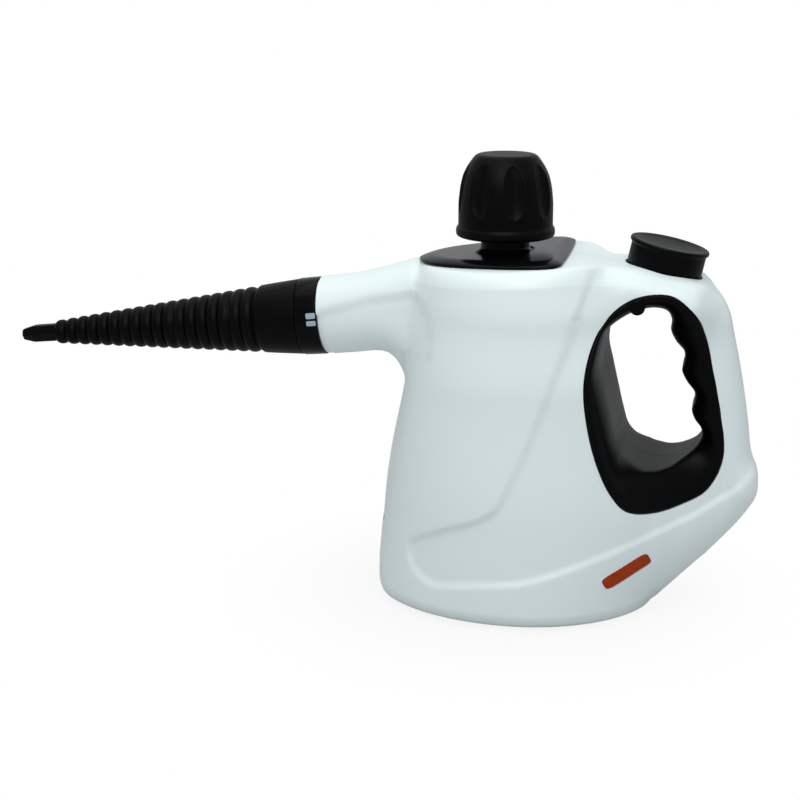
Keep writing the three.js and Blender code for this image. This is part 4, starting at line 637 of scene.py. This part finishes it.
# The deck plate: a glossy black shield under the safety cap, moulded in one with the collar that flares out
# of it and guards the filler. Its top slopes off to a thin rounded edge.
plate_length = 81.0
plate_half_width = 46.5
plate_thickness = 3.0
plate_gap = 0.3
plate_slope_width = 8.0
plate_shares = np.array([(0, 0), (0.012, 0.12), (0.04, 0.27), (0.085, 0.4), (0.16, 0.54), (0.35, 0.74),
                         (0.6, 0.92), (0.74, 0.98), (0.88, 1), (0.95, 0.96), (0.985, 0.86), (0.995, 0.6)])
plate_edge = np.array([(0.6, -3.0), (0.15, -2.9), (0.0, -2.6), (0.0, -2.2), (0.2, -1.9), (0.6, -1.65),
                       (2.0, -1.15), (5.0, -0.35), (plate_slope_width, 0.0)])
deck_start = outline_shares[0] * size
deck_slope = math.atan2(*((outline_shares[3] - outline_shares[0]) * size)[::-1])
collar_radius = 12.9
collar_flare = 3.2
collar_rim = np.array([(collar_radius, 6.5), (collar_radius - 0.15, 6.9), (collar_radius - 0.4, 7.0),
                       (12.25, 6.85), (filler_bore, 6.6), (filler_bore, -2.4)])


def deck_top(x):
    """The height of the plate's flat top, which leans with the deck."""
    return deck_start[1] + plate_gap + plate_thickness + math.tan(deck_slope) * (x - deck_start[0])


def deck_plate_points():
    """A grid of the plate's outline and a section. The section goes up the edge, in along the top, up the
    collar's flare, a quarter circle r + f (1 - sin a), f (1 - cos a), over its rim and down its bore."""
    half = plate_shares * (plate_length, plate_half_width)
    loop = np.vstack([half, [(plate_length, 0.0)], half[:0:-1] * (1, -1)])
    edge = evenly(curve_through(loop, True, np.arange(0, len(loop), 0.02)), True, 240)
    edge = edge @ np.diag([math.cos(deck_slope), 1.0]) + (deck_start[0], 0.0)
    gap = edge - (cap_x, 0.0)
    reach = np.linalg.norm(gap, axis=1)[:, None]
    level = 0 * reach
    share = np.linspace(0, 1, 12)[1:]
    turn = np.linspace(0, math.pi / 2, 8)[1:]
    flare_from = collar_radius + collar_flare
    top_out = (reach - plate_slope_width) * (1 - share) + (flare_from + 0.2) * share
    flare_out = level + collar_radius + collar_flare * (1 - np.sin(turn))
    out = np.hstack([reach - plate_edge[:, 0], top_out, flare_out, level + collar_rim[:, 0]])
    high = np.hstack([level + plate_edge[:, 1], level + 0 * share, level + collar_flare * (1 - np.cos(turn)),
                      level + collar_rim[:, 1]])
    place = np.array((cap_x, 0.0)) + (gap / reach)[:, None, :] * out[..., None]
    high = np.where(out > flare_from, deck_top(place[..., 0]), deck_top(cap_x)) + high
    return np.concatenate([place, high[..., None]], axis=-1)


plastic("gloss_black", (0.0014, 0.0015, 0.0018), 0.16, 0.24, 500.0, 0.00002)
deck_plate = add_ring("deck_shield", deck_plate_points(), "gloss_black")
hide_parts("deck_plate")


# The safety cap's knob: black plastic, moulded hollow over its spring, with a rounded lip at its foot and
# eight finger flutes sunk in round its side.
def softened(profile, radius):
    """A profile whose corners are rounded: each becomes a parabola between points a radius away."""
    profile = np.asarray(profile, dtype=float)
    before, here, after = profile[:-2], profile[1:-1], profile[2:]
    first, second = before - here, after - here
    lengths = [np.linalg.norm(step, axis=1, keepdims=True) for step in (first, second)]
    start, end = (here + step / length * np.minimum(radius, 0.45 * length)
                  for step, length in zip((first, second), lengths))
    w = np.linspace(0, 1, 5)[None, :, None]
    turn = start[:, None] * (1 - w) ** 2 + 2 * here[:, None] * w * (1 - w) + end[:, None] * w ** 2
    return np.vstack([profile[:1], turn.reshape(-1, 2), profile[-1:]])


def turned(profile, steps=96, sides=None):
    """A round piece about its axis: the profile's radius and height carried round a circle. With sides,
    the radius is nearly that of a polygon, r cos(pi/n) / cos(angle from the side's middle)."""
    angle = np.arange(steps) * math.tau / steps
    radius = profile[:, 0] + 0 * angle[:, None]
    if sides:
        off = (angle + math.pi / sides) % (math.tau / sides) - math.pi / sides
        flat = math.cos(math.pi / sides) / np.cos(off)
        radius = radius * (0.93 * flat + 0.07)[:, None]
    return carried_round(radius, profile[:, 1] + 0 * radius, angle[:, None])


cap_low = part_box("cap_knob")[0][2] / mm
knob_profile = np.array([
    (22.5, 0.0), (24.2, 0.05), (25.15, 0.3), (25.85, 0.8), (26.2, 1.6), (26.2, 3.9), (25.9, 4.9),
    (25.4, 5.5), (25.2, 5.9), (25.1, 7.0), (25.1, 12.0), (25.05, 17.6), (24.8, 21.0), (24.05, 27.1),
    (22.75, 32.3), (21.1, 36.0), (19.1, 39.2), (17.6, 41.3), (16.3, 42.7), (15.0, 43.4), (13.5, 43.6)])
knob_hollow = [(0, 30.1), (10.4, 30.1), (10.4, 20.2), (7.3, 20.2), (7.3, 10.2), (13.5, 10.2), (13.5, 0.0),
               (22.5, 0.0)]
knob_steps = 384
flute_count = 8
flute_turn = math.radians(-4.3)
flute_half = np.array([5.7, 13.7])
flute_middle = 25.6
flute_depth = 2.9
crown_rise = 0.12


def knob_points():
    """The knob's section carried round: down its hollow, out along the foot, and up the side. With u
    across a flute and v along it, q = |u|^2 + |v|^2.6, and it sinks by its depth times (1 - q)^0.9. The
    crown closes it, all but flat."""
    run = evenly(curve_through(knob_profile, False, np.linspace(0, len(knob_profile) - 1, 600)), False, 120)
    angle = np.arange(knob_steps)[:, None] * math.tau / knob_steps
    flute = math.tau / flute_count
    u = ((angle - flute_turn) % flute - flute / 2) * run[:, 0] / flute_half[0]
    v = (run[:, 1] - flute_middle) / flute_half[1]
    deep = flute_depth * np.clip(1.0 - np.abs(u) ** 2 - np.abs(v) ** 2.6, 0, 1) ** 0.9
    side = np.stack([run[:, 0] - deep, run[:, 1] + 0 * deep], axis=-1)
    hollow = softened(knob_hollow, 0.5)
    share = np.linspace(1, 0, 9)[1:, None]
    crown = side[:, -1][:, None, :] * (share * (1, 0) + (0, 1)) + (0, crown_rise) * (1 - share)
    grid = np.concatenate([np.broadcast_to(hollow, (knob_steps, *hollow.shape)), side, crown], axis=1)
    return carried_round(grid[..., 0], grid[..., 1], angle)


knob = knob_points() + (cap_x, 0, cap_low)
cap_knob = add_ring("safety_knob", knob, "matte_black", "cap_knob", crease=50)
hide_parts("cap_knob")


# The thumb button: a black cap with a rounded lip and a top dished for the thumb. It slides over
# a tube in the housing on its own spring, and its post pushes the lever.
def about(points, place, tilt):
    """Points of a local frame whose z axis leans by the tilt from up towards +X, moved to a place."""
    cos, sin = math.cos(tilt), math.sin(tilt)
    x, y, z = np.moveaxis(points, -1, 0)
    return np.stack([x * cos + z * sin, y, z * cos - x * sin], axis=-1) + place


button_run = softened([(0, -7.6), (4, -7.6), (4, 8.6), (17.6, 8.6), (17.6, -1.2), (19.8, -1.2), (19.8, 9.9),
                       (20.9, 10.3), (21, 11.8), (20.2, 12.5), (18.6, 12.5), (15, 11.8), (7, 11.2),
                       (0, 11.1)], 0.9)
button_points = about(turned(button_run, 128), button_place, button_tilt)
button = add_ring("thumb_button", button_points, "matte_black", "steam_button")
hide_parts("steam_button")


# The outlet: a glossy black ring pressed into the neck, with a lip inside that holds the nozzle's lugs. Two
# pale bars are printed on its near side, to show how the nozzle goes in.
neck_turn = math.atan2(neck_way[0], neck_way[1])
neck_place = np.array([mouth[0], 0.0, mouth[1]])
outlet_run = softened([(18.0, -10.0), (18.8, -10.0), (18.8, 0.1), (21.25, 0.1), (21.2, 6.0), (21.0, 12.5),
                       (13.8, 12.5), (13.8, 9.0), (17.3, 9.0), (17.3, -9.3), (18.0, -10.0)], 0.7)
outlet = add_ring("outlet_socket", about(turned(outlet_run, 144), neck_place, neck_turn), "gloss_black")
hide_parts("outlet_ring")

mark_middle = 3.2
mark_half_length = 2.6


def soft_loop(steps, power):
    """A loop round the unit square's middle, (|cos a|^p, |sin a|^q) with their signs."""
    turn_step = np.arange(steps)[:, None] * math.tau / steps
    unit = np.hstack([np.cos(turn_step), np.sin(turn_step)])
    return np.sign(unit) * np.abs(unit) ** power


def ring_mark(low, high):
    """A thin printed bar along the ring, between two angles from the top towards the near side. Its border
    is |p|^6 + |q|^6 = 1 in its own two directions, and its face and back are two radii of the ring."""
    share = np.linspace(0, 1, 6)
    across, along = soft_loop(64, 1 / 3).T[..., None]
    angle = np.radians((low + high) / 2 + across * share * (high - low) / 2)
    run = mark_middle + mark_half_length * along * share
    face, back = (carried_round(-radius, run, angle) for radius in (21.31, 21.0))
    return np.concatenate([face, back[:, ::-1]], axis=1)


plastic("mark_grey", (0.30, 0.37, 0.44), 0.42, 0.5, 900.0, 0.00002)
for number, (low, high) in enumerate(((85.5, 93.0), (96.0, 104.5)), 1):
    add_ring(f"ring_mark_{number}", about(ring_mark(low, high), neck_place, neck_turn), "mark_grey")


# The nozzle: one black moulding of a smooth sleeve that turns in the ring and a long cone of rounded
# ribs, with a six-sided tip pushed into its end.
rib_count = 18
rib_pitch = 6.61
rib_depth = 2.3
rib_steps = 14
first_rib = 40.8
first_crest = 18.0
last_crest = 6.8
sleeve_to = 36.2


def cone_profile():
    """The section from the spigot over the sleeve and the ribs to the end, and back down the bore. Each
    rib's radius is r - d + d sqrt(1 - 0.97 u^2), with u from -1 to 1 over a pitch, and r shrinks evenly."""
    sleeve = softened([(7.3, -6.0), (13.4, -6.0), (13.4, 12.8), (20.7, 12.8), (19.5, 26.0), (18.6, 35.0),
                       (17.4, sleeve_to)], 0.9)
    along = np.linspace(sleeve_to + 0.15, first_rib + rib_pitch * (rib_count - 0.5), rib_count * rib_steps)
    place = (along - first_rib) / rib_pitch
    nearest = np.clip(np.round(place), 0, rib_count - 1)
    crest = first_crest + (last_crest - first_crest) * nearest / (rib_count - 1)
    u = np.clip((place - nearest) * 2, -1, 1)
    ribs = np.stack([crest - rib_depth + rib_depth * np.sqrt(1 - 0.97 * u ** 2), along], axis=-1)
    end = ribs[-1, 1]
    inner = [(3.2, end), (3.2, end - 9.0), (14.0, 26.0), (7.3, 13.0), (7.3, -6.0)]
    return np.vstack([sleeve, ribs, inner])


cone_points = about(turned(cone_profile()), neck_place, neck_turn)
cone = add_ring("nozzle_cone", cone_points, "matte_black", "nozzle", crease=50)
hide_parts("nozzle_sleeve")


def lug_points(side):
    """A lug on the spigot that locks in the ring: a rounded section carried round 30 degrees, whose ends
    are drawn in to its middle."""
    section = softened([(13.3, 4.9), (16.8, 4.9), (16.8, 8.4), (13.3, 8.4), (13.3, 4.9)], 0.5)[:-1]
    middle = section.mean(axis=0)
    loops = np.stack([middle + 0 * section, *[section] * 12, middle + 0 * section], axis=1)
    angle = np.radians([-15.0, *np.linspace(-15, 15, 12), 15.0]) + side
    return carried_round(loops[..., 0], loops[..., 1], angle)


for number, side in enumerate((0.0, math.pi), 1):
    lug = about(lug_points(side), neck_place, neck_turn)
    add_ring(f"nozzle_lug_{number}", lug, "matte_black", "nozzle", turned_over=True)

tip_from = 156.2
tip_run = softened([(1.4, -8.0), (3.1, -8.0), (3.1, 0.0), (5.2, 0.0), (5.3, 1.0), (5.2, 13.5), (3.4, 20.0),
                    (2.6, 20.6), (1.4, 20.6), (1.4, -8.0)], 0.8) + (0.0, tip_from)
tip = add_ring("nozzle_end", about(turned(tip_run, sides=6), neck_place, neck_turn), "matte_black", "nozzle")
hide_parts("nozzle_tip")


# The lamp's lens: an orange bar of plastic over the lamp, pressed into the near shell from inside. It
# follows the body, with fine ribs moulded across it.
lens_proud = 0.45
lens_depth = 2.4
lens_rib_height = 0.1
lens_rib_pitch = 1.1


def lens_points():
    """A grid over the lens: along it and across it, where the border is |u/a|^8 + |v/b|^4.4 = 1, and the
    face stands proud of the body by a rounded step, with ribs of height h cos(2 pi u / pitch)."""
    share = np.linspace(0, 1, 14)[None, :, None]
    local = (lens_half * soft_loop(96, (0.25, 0.4545)))[:, None, :] * share
    place = lens_place + local @ lens_ways
    side = body_side(place.reshape(-1, 2)).reshape(place.shape[:2])
    proud = lens_proud * np.sqrt(np.clip(1 - share[..., 0] ** 8, 0, 1))
    ribs = lens_rib_height * np.cos(math.tau * local[..., 0] / lens_rib_pitch)
    proud = proud + ribs * (share[..., 0] < 0.9)
    back = at_side(place, side - lens_depth)[:, ::-1]
    return np.concatenate([at_side(place, side + proud), back], axis=1)


# Orange plastic that lets a little light in, its colour deeper in clouds.
finish("amber", ((0.31, 0.028, 0.001), (0.46, 0.048, 0.002)), (0.34,), (120.0, 2.0), (1500.0, 2.0),
       (0.15, 0.00005), {"IOR": 1.4, "Specular IOR Level": 0.2, "Subsurface Weight": 0.15,
                         "Subsurface Scale": 0.002})
lens = add_ring("lamp_lens", lens_points(), "amber")
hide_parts("indicator_lens")


# The lock: a round black plastic pin that slides across through the body above the handle's opening, with a
# waist in its middle. An end stands out on either side.
def far_side(points, x, z):
    """Points of a local frame whose z axis points out of the far side, +Y, moved to a place."""
    return points[..., [0, 2, 1]] * (-1, 1, 1) + (x, 0, z)


lock_place = np.array([0.3377, 0.8917]) * size
pin_run = softened([(0, -33.4), (4, -33.4), (4, -21.5), (1.6, -21.5), (1.6, 15.5), (4, 15.5), (4, 27.4),
                    (0, 27.4)], 0.9)
pin = add_ring("lock_cross_pin", far_side(turned(pin_run, 64), *lock_place), "matte_black", "lock_pin")
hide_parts("lock_pin")


# The foot: a black rubber pad glued into a recess of the underside, with rings of grooves so that it does
# not slip.
pad_half = np.array([0.29 * body_length, 0.69 * body_half_width])
pad_centre = 0.02 * body_length
pad_grooves = 9
groove_depth = 0.45


def pad_points():
    """A grid of turns and rows: from the middle of the underside out to the edge, up it and back over the
    top. The underside sinks where sin^2 of the way out, counted in grooves, comes near 1."""
    angle = np.arange(160)[:, None] * math.tau / 160
    out = np.concatenate([np.linspace(0, 0.985, 90), [0.995, 1.0, 1.0, 0.995, 0.98], np.linspace(0.9, 0, 4)])
    high = np.concatenate([np.zeros(90), [0.1, 0.4, 1.3, 1.55, 1.6], np.full(4, 1.6)])
    in_groove = np.sin(out[:90] * pad_grooves * math.pi) ** 2 * (out[:90] > 0.22) * (out[:90] < 0.9)
    high[:90] = groove_depth * smooth(0.55, 0.75, in_groove)
    return carried_round(out, high + 0 * angle, angle) * (*pad_half, 1) + (pad_centre, 0, 0)


plastic("rubber", (0.012, 0.012, 0.013), 0.72, 0.85, 700.0, 0.00015)
foot = add_ring("foot_pad", pad_points(), "rubber")
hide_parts("base_pad")


# The cord gland: a black plastic bush with a rounded mouth, clamped between the two shells in the sloping
# underside of the tail.
gland_run = softened([(3.2, -10.0), (5.0, -10.0), (5.0, 0.05), (6.4, 0.1), (6.3, 0.5), (4.2, 0.6),
                      (3.2, -0.4), (3.2, -10.0)], 0.3)
gland = add_ring("gland_bush", about(turned(gland_run, 64), gland_place, gland_tilt), "matte_black")
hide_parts("cord_gland")


# The body's screws: six steel screws with domed heads and a cross, driven from the far side, which hold the
# two shells together.
screw_root = 1.1
thread_height = 0.2
thread_pitch = 1.3
cross_depth = 0.9


def screw_points():
    """A turned screw: a threaded shank of radius r + h sin(2 pi z / pitch - angle), a domed head, and a
    cross sunk in it where |x| or |y| is small."""
    shank = np.linspace(-9.0, 8.2, 86)
    angle = np.arange(64)[:, None] * math.tau / 64
    thread = screw_root + thread_height * np.sin(math.tau * shank / thread_pitch - angle)
    thread[:, 0] = 0.0
    head_out = np.concatenate([[2.6, 2.8, 2.8, 2.6], np.linspace(2.4, 0.0, 16)])
    head_high = np.concatenate([[8.3, 8.45, 9.4, 9.65], 9.75 + 0.5 * (1 - (head_out[4:] / 2.4) ** 2)])
    radius = np.hstack([thread, head_out + 0 * angle])
    grid = carried_round(radius, np.hstack([shank, head_high]) + 0 * angle, angle)
    arm = 1 - smooth(0.22, 0.42, np.abs(grid[..., :2]).min(axis=-1))
    grid[..., 2] -= cross_depth * arm * (1 - smooth(1.3, 1.75, radius)) * (grid[..., 2] > 9.7)
    return grid


def metal(name, colour, rough, grain_scale, grain_depth):
    """Bare metal: its tint and polish wander over a fine grain left by the tool or the die."""
    darker = [value * 0.82 for value in colour]
    finish(name, (darker, colour), (rough * 0.8, rough * 1.2), (45.0, 4.0), (grain_scale, 2.0),
           (0.3, grain_depth), {"Metallic": 1.0})


metal("steel", (0.56, 0.57, 0.58), 0.32, 900.0, 0.00003)
screw_grid = screw_points()
for number, (x, z) in enumerate(screw_places, 1):
    screw = add_ring(f"shell_screw_{number}", far_side(screw_grid, x, z), "steel", crease=40)
    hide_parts(f"body_screw_{number}")


# Screw wells: white tubes moulded in one with the far shell, one under each screw hole, whose mouth follows
# the shell. The screw's head bears on the ring at the bottom.
well_run = softened([(1.5, 6.2), (4.6, 6.2), (4.6, 7.6), (4.6, 10.0), (3.15, 10.0), (3.15, 8.1), (1.5, 8.1),
                     (1.5, 6.2)], 0.25)
well_floor = 8.5
well_middle = 3.8
for number, (x, z) in enumerate(screw_places, 1):
    tube = far_side(turned(well_run, 48), x, z)
    rim = tube[..., 1] > well_floor
    outer = np.hypot(tube[rim, 0] - x, tube[rim, 2] - z) > well_middle
    tube[rim, 1] = body_side(tube[rim][:, [0, 2]]) - np.where(outer, 1.7, 0.6)
    add_ring(f"screw_well_{number}", tube, "shell_white")


# The safety cap's plug: turned brass with a right-handed thread, a flange for the washer and a bored stem
# that carries the knob.
plug_root = 8.35
plug_thread_height = 0.35
plug_thread_pitch = 3.0


def plug_points():
    """The plug's section carried round. On the shank the radius is r + h cos(2 pi z / pitch - angle), and h
    fades out at both ends."""
    low, high = (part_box("cap_core")[k][2] / mm for k in (0, 1))
    flange = high - 27.0
    shank = np.arange(low + 0.6, flange - 2.6, 0.25)
    foot = [(2.0, low), (7.9, low), (8.2, low + 0.3)]
    run = np.vstack([foot, np.stack([0 * shank + plug_root, shank], axis=-1),
                     [(plug_root, flange - 2.4), (11.3, flange - 2.4), (11.6, flange - 2.1),
                      (11.6, flange - 0.3), (11.3, flange), (7.2, flange), (7.0, flange + 0.2),
                      (7.0, high - 0.5), (6.5, high), (4.2, high), (4.0, high - 0.2), (4.0, low + 8.0),
                      (2.0, low + 8.0), (2.0, low)]])
    angle = np.arange(96)[:, None] * math.tau / 96
    row = np.arange(len(run))
    on_shank = (row >= len(foot)) & (row < len(foot) + len(shank))
    up = run[:, 1]
    fade = smooth(low + 0.6, low + 2.2, up) * (1 - smooth(flange - 7, flange - 5, up)) * on_shank
    out = run[:, 0] + plug_thread_height * fade * np.cos(math.tau * up / plug_thread_pitch - angle)
    return carried_round(out, up + 0 * out, angle) + (cap_x, 0, 0)


metal("brass", (0.72, 0.50, 0.22), 0.26, 700.0, 0.00004)
plug = add_ring("cap_plug", plug_points(), "brass", "cap_core", crease=40)
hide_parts("cap_core")


# Coil springs of steel wire: one under the cap's knob, one on the relief pin, one under the button and
# one on the valve's stem. Each is a helix whose end turns lie flat.
def helix(radius, wire, turns, low, high):
    """A closed tube round a helix. Over the turns t the height eases from one end to the other as
    clip((t - 0.8) / (turns - 1.6), 0, 1), and the section is a circle across the path."""
    steps = int(turns * 36)
    turn_step = np.concatenate([[0], np.linspace(0, turns, steps), [turns]])
    thick = np.concatenate([[0], np.full(steps, wire / 2), [0]])
    height = low + wire / 2 + (high - low - wire) * np.clip((turn_step - 0.8) / (turns - 1.6), 0, 1)
    section = np.arange(12)[:, None] * math.tau / 12
    out = radius + thick * np.cos(section)
    return carried_round(out, height - thick * np.sin(section), turn_step * math.tau)


spring_low, spring_high = (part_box("cap_spring")[k][2] / mm for k in (0, 1))
coil = helix(8.7, 1.8, 4, spring_low, spring_high)
cap_coil = add_ring("cap_coil", coil + (cap_x, 0, 0), "steel", "cap_core")
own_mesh(cap_coil)
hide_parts("cap_spring")

spring_low, spring_high = (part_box("relief_spring")[k][2] / mm for k in (0, 1))
coil = helix(2.75, 1.1, 9, spring_low, spring_high)
relief_coil = add_ring("relief_coil", coil + (cap_x, 0, 0), "steel", "cap_core")
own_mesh(relief_coil)
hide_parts("relief_spring")

valve_low, valve_high = (np.array(side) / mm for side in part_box("valve_spring"))
valve_x = (valve_low[0] + valve_high[0]) / 2
spring_low, spring_high = valve_low[2], valve_high[2]
coil = helix(3.5, 1.1, 4, spring_low, spring_high)
valve_coil = add_ring("valve_coil", coil + (valve_x, 0, 0), "steel")
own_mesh(valve_coil)
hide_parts("valve_spring")

button_spring_low = -5.3
coil = helix(5.4, 1.3, 6, button_spring_low, 8.5)
button_coil = add_ring("button_coil", about(coil, button_place, button_tilt), "steel")
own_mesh(button_coil)
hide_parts("button_spring")


# The works inside: the cast boiler, its heater, wires, valve and pipes, made of metal, ceramic and rubber and
# fitted before the shells close. They keep the solids' own shapes and get their finishes here.
metal("alloy", (0.60, 0.61, 0.62), 0.48, 260.0, 0.00025)
plastic("ceramic", (0.55, 0.53, 0.47), 0.45, 0.6, 500.0, 0.00008)
plastic("wire_brown", (0.09, 0.035, 0.014), 0.4, 0.5, 300.0, 0.00005)
plastic("wire_blue", (0.016, 0.065, 0.24), 0.4, 0.5, 300.0, 0.00005)
for part in frame["record"]["subparts"]:
    frame["nodes"][part["node"]].material_slots[0].material = finishes[part["material_slot"]]
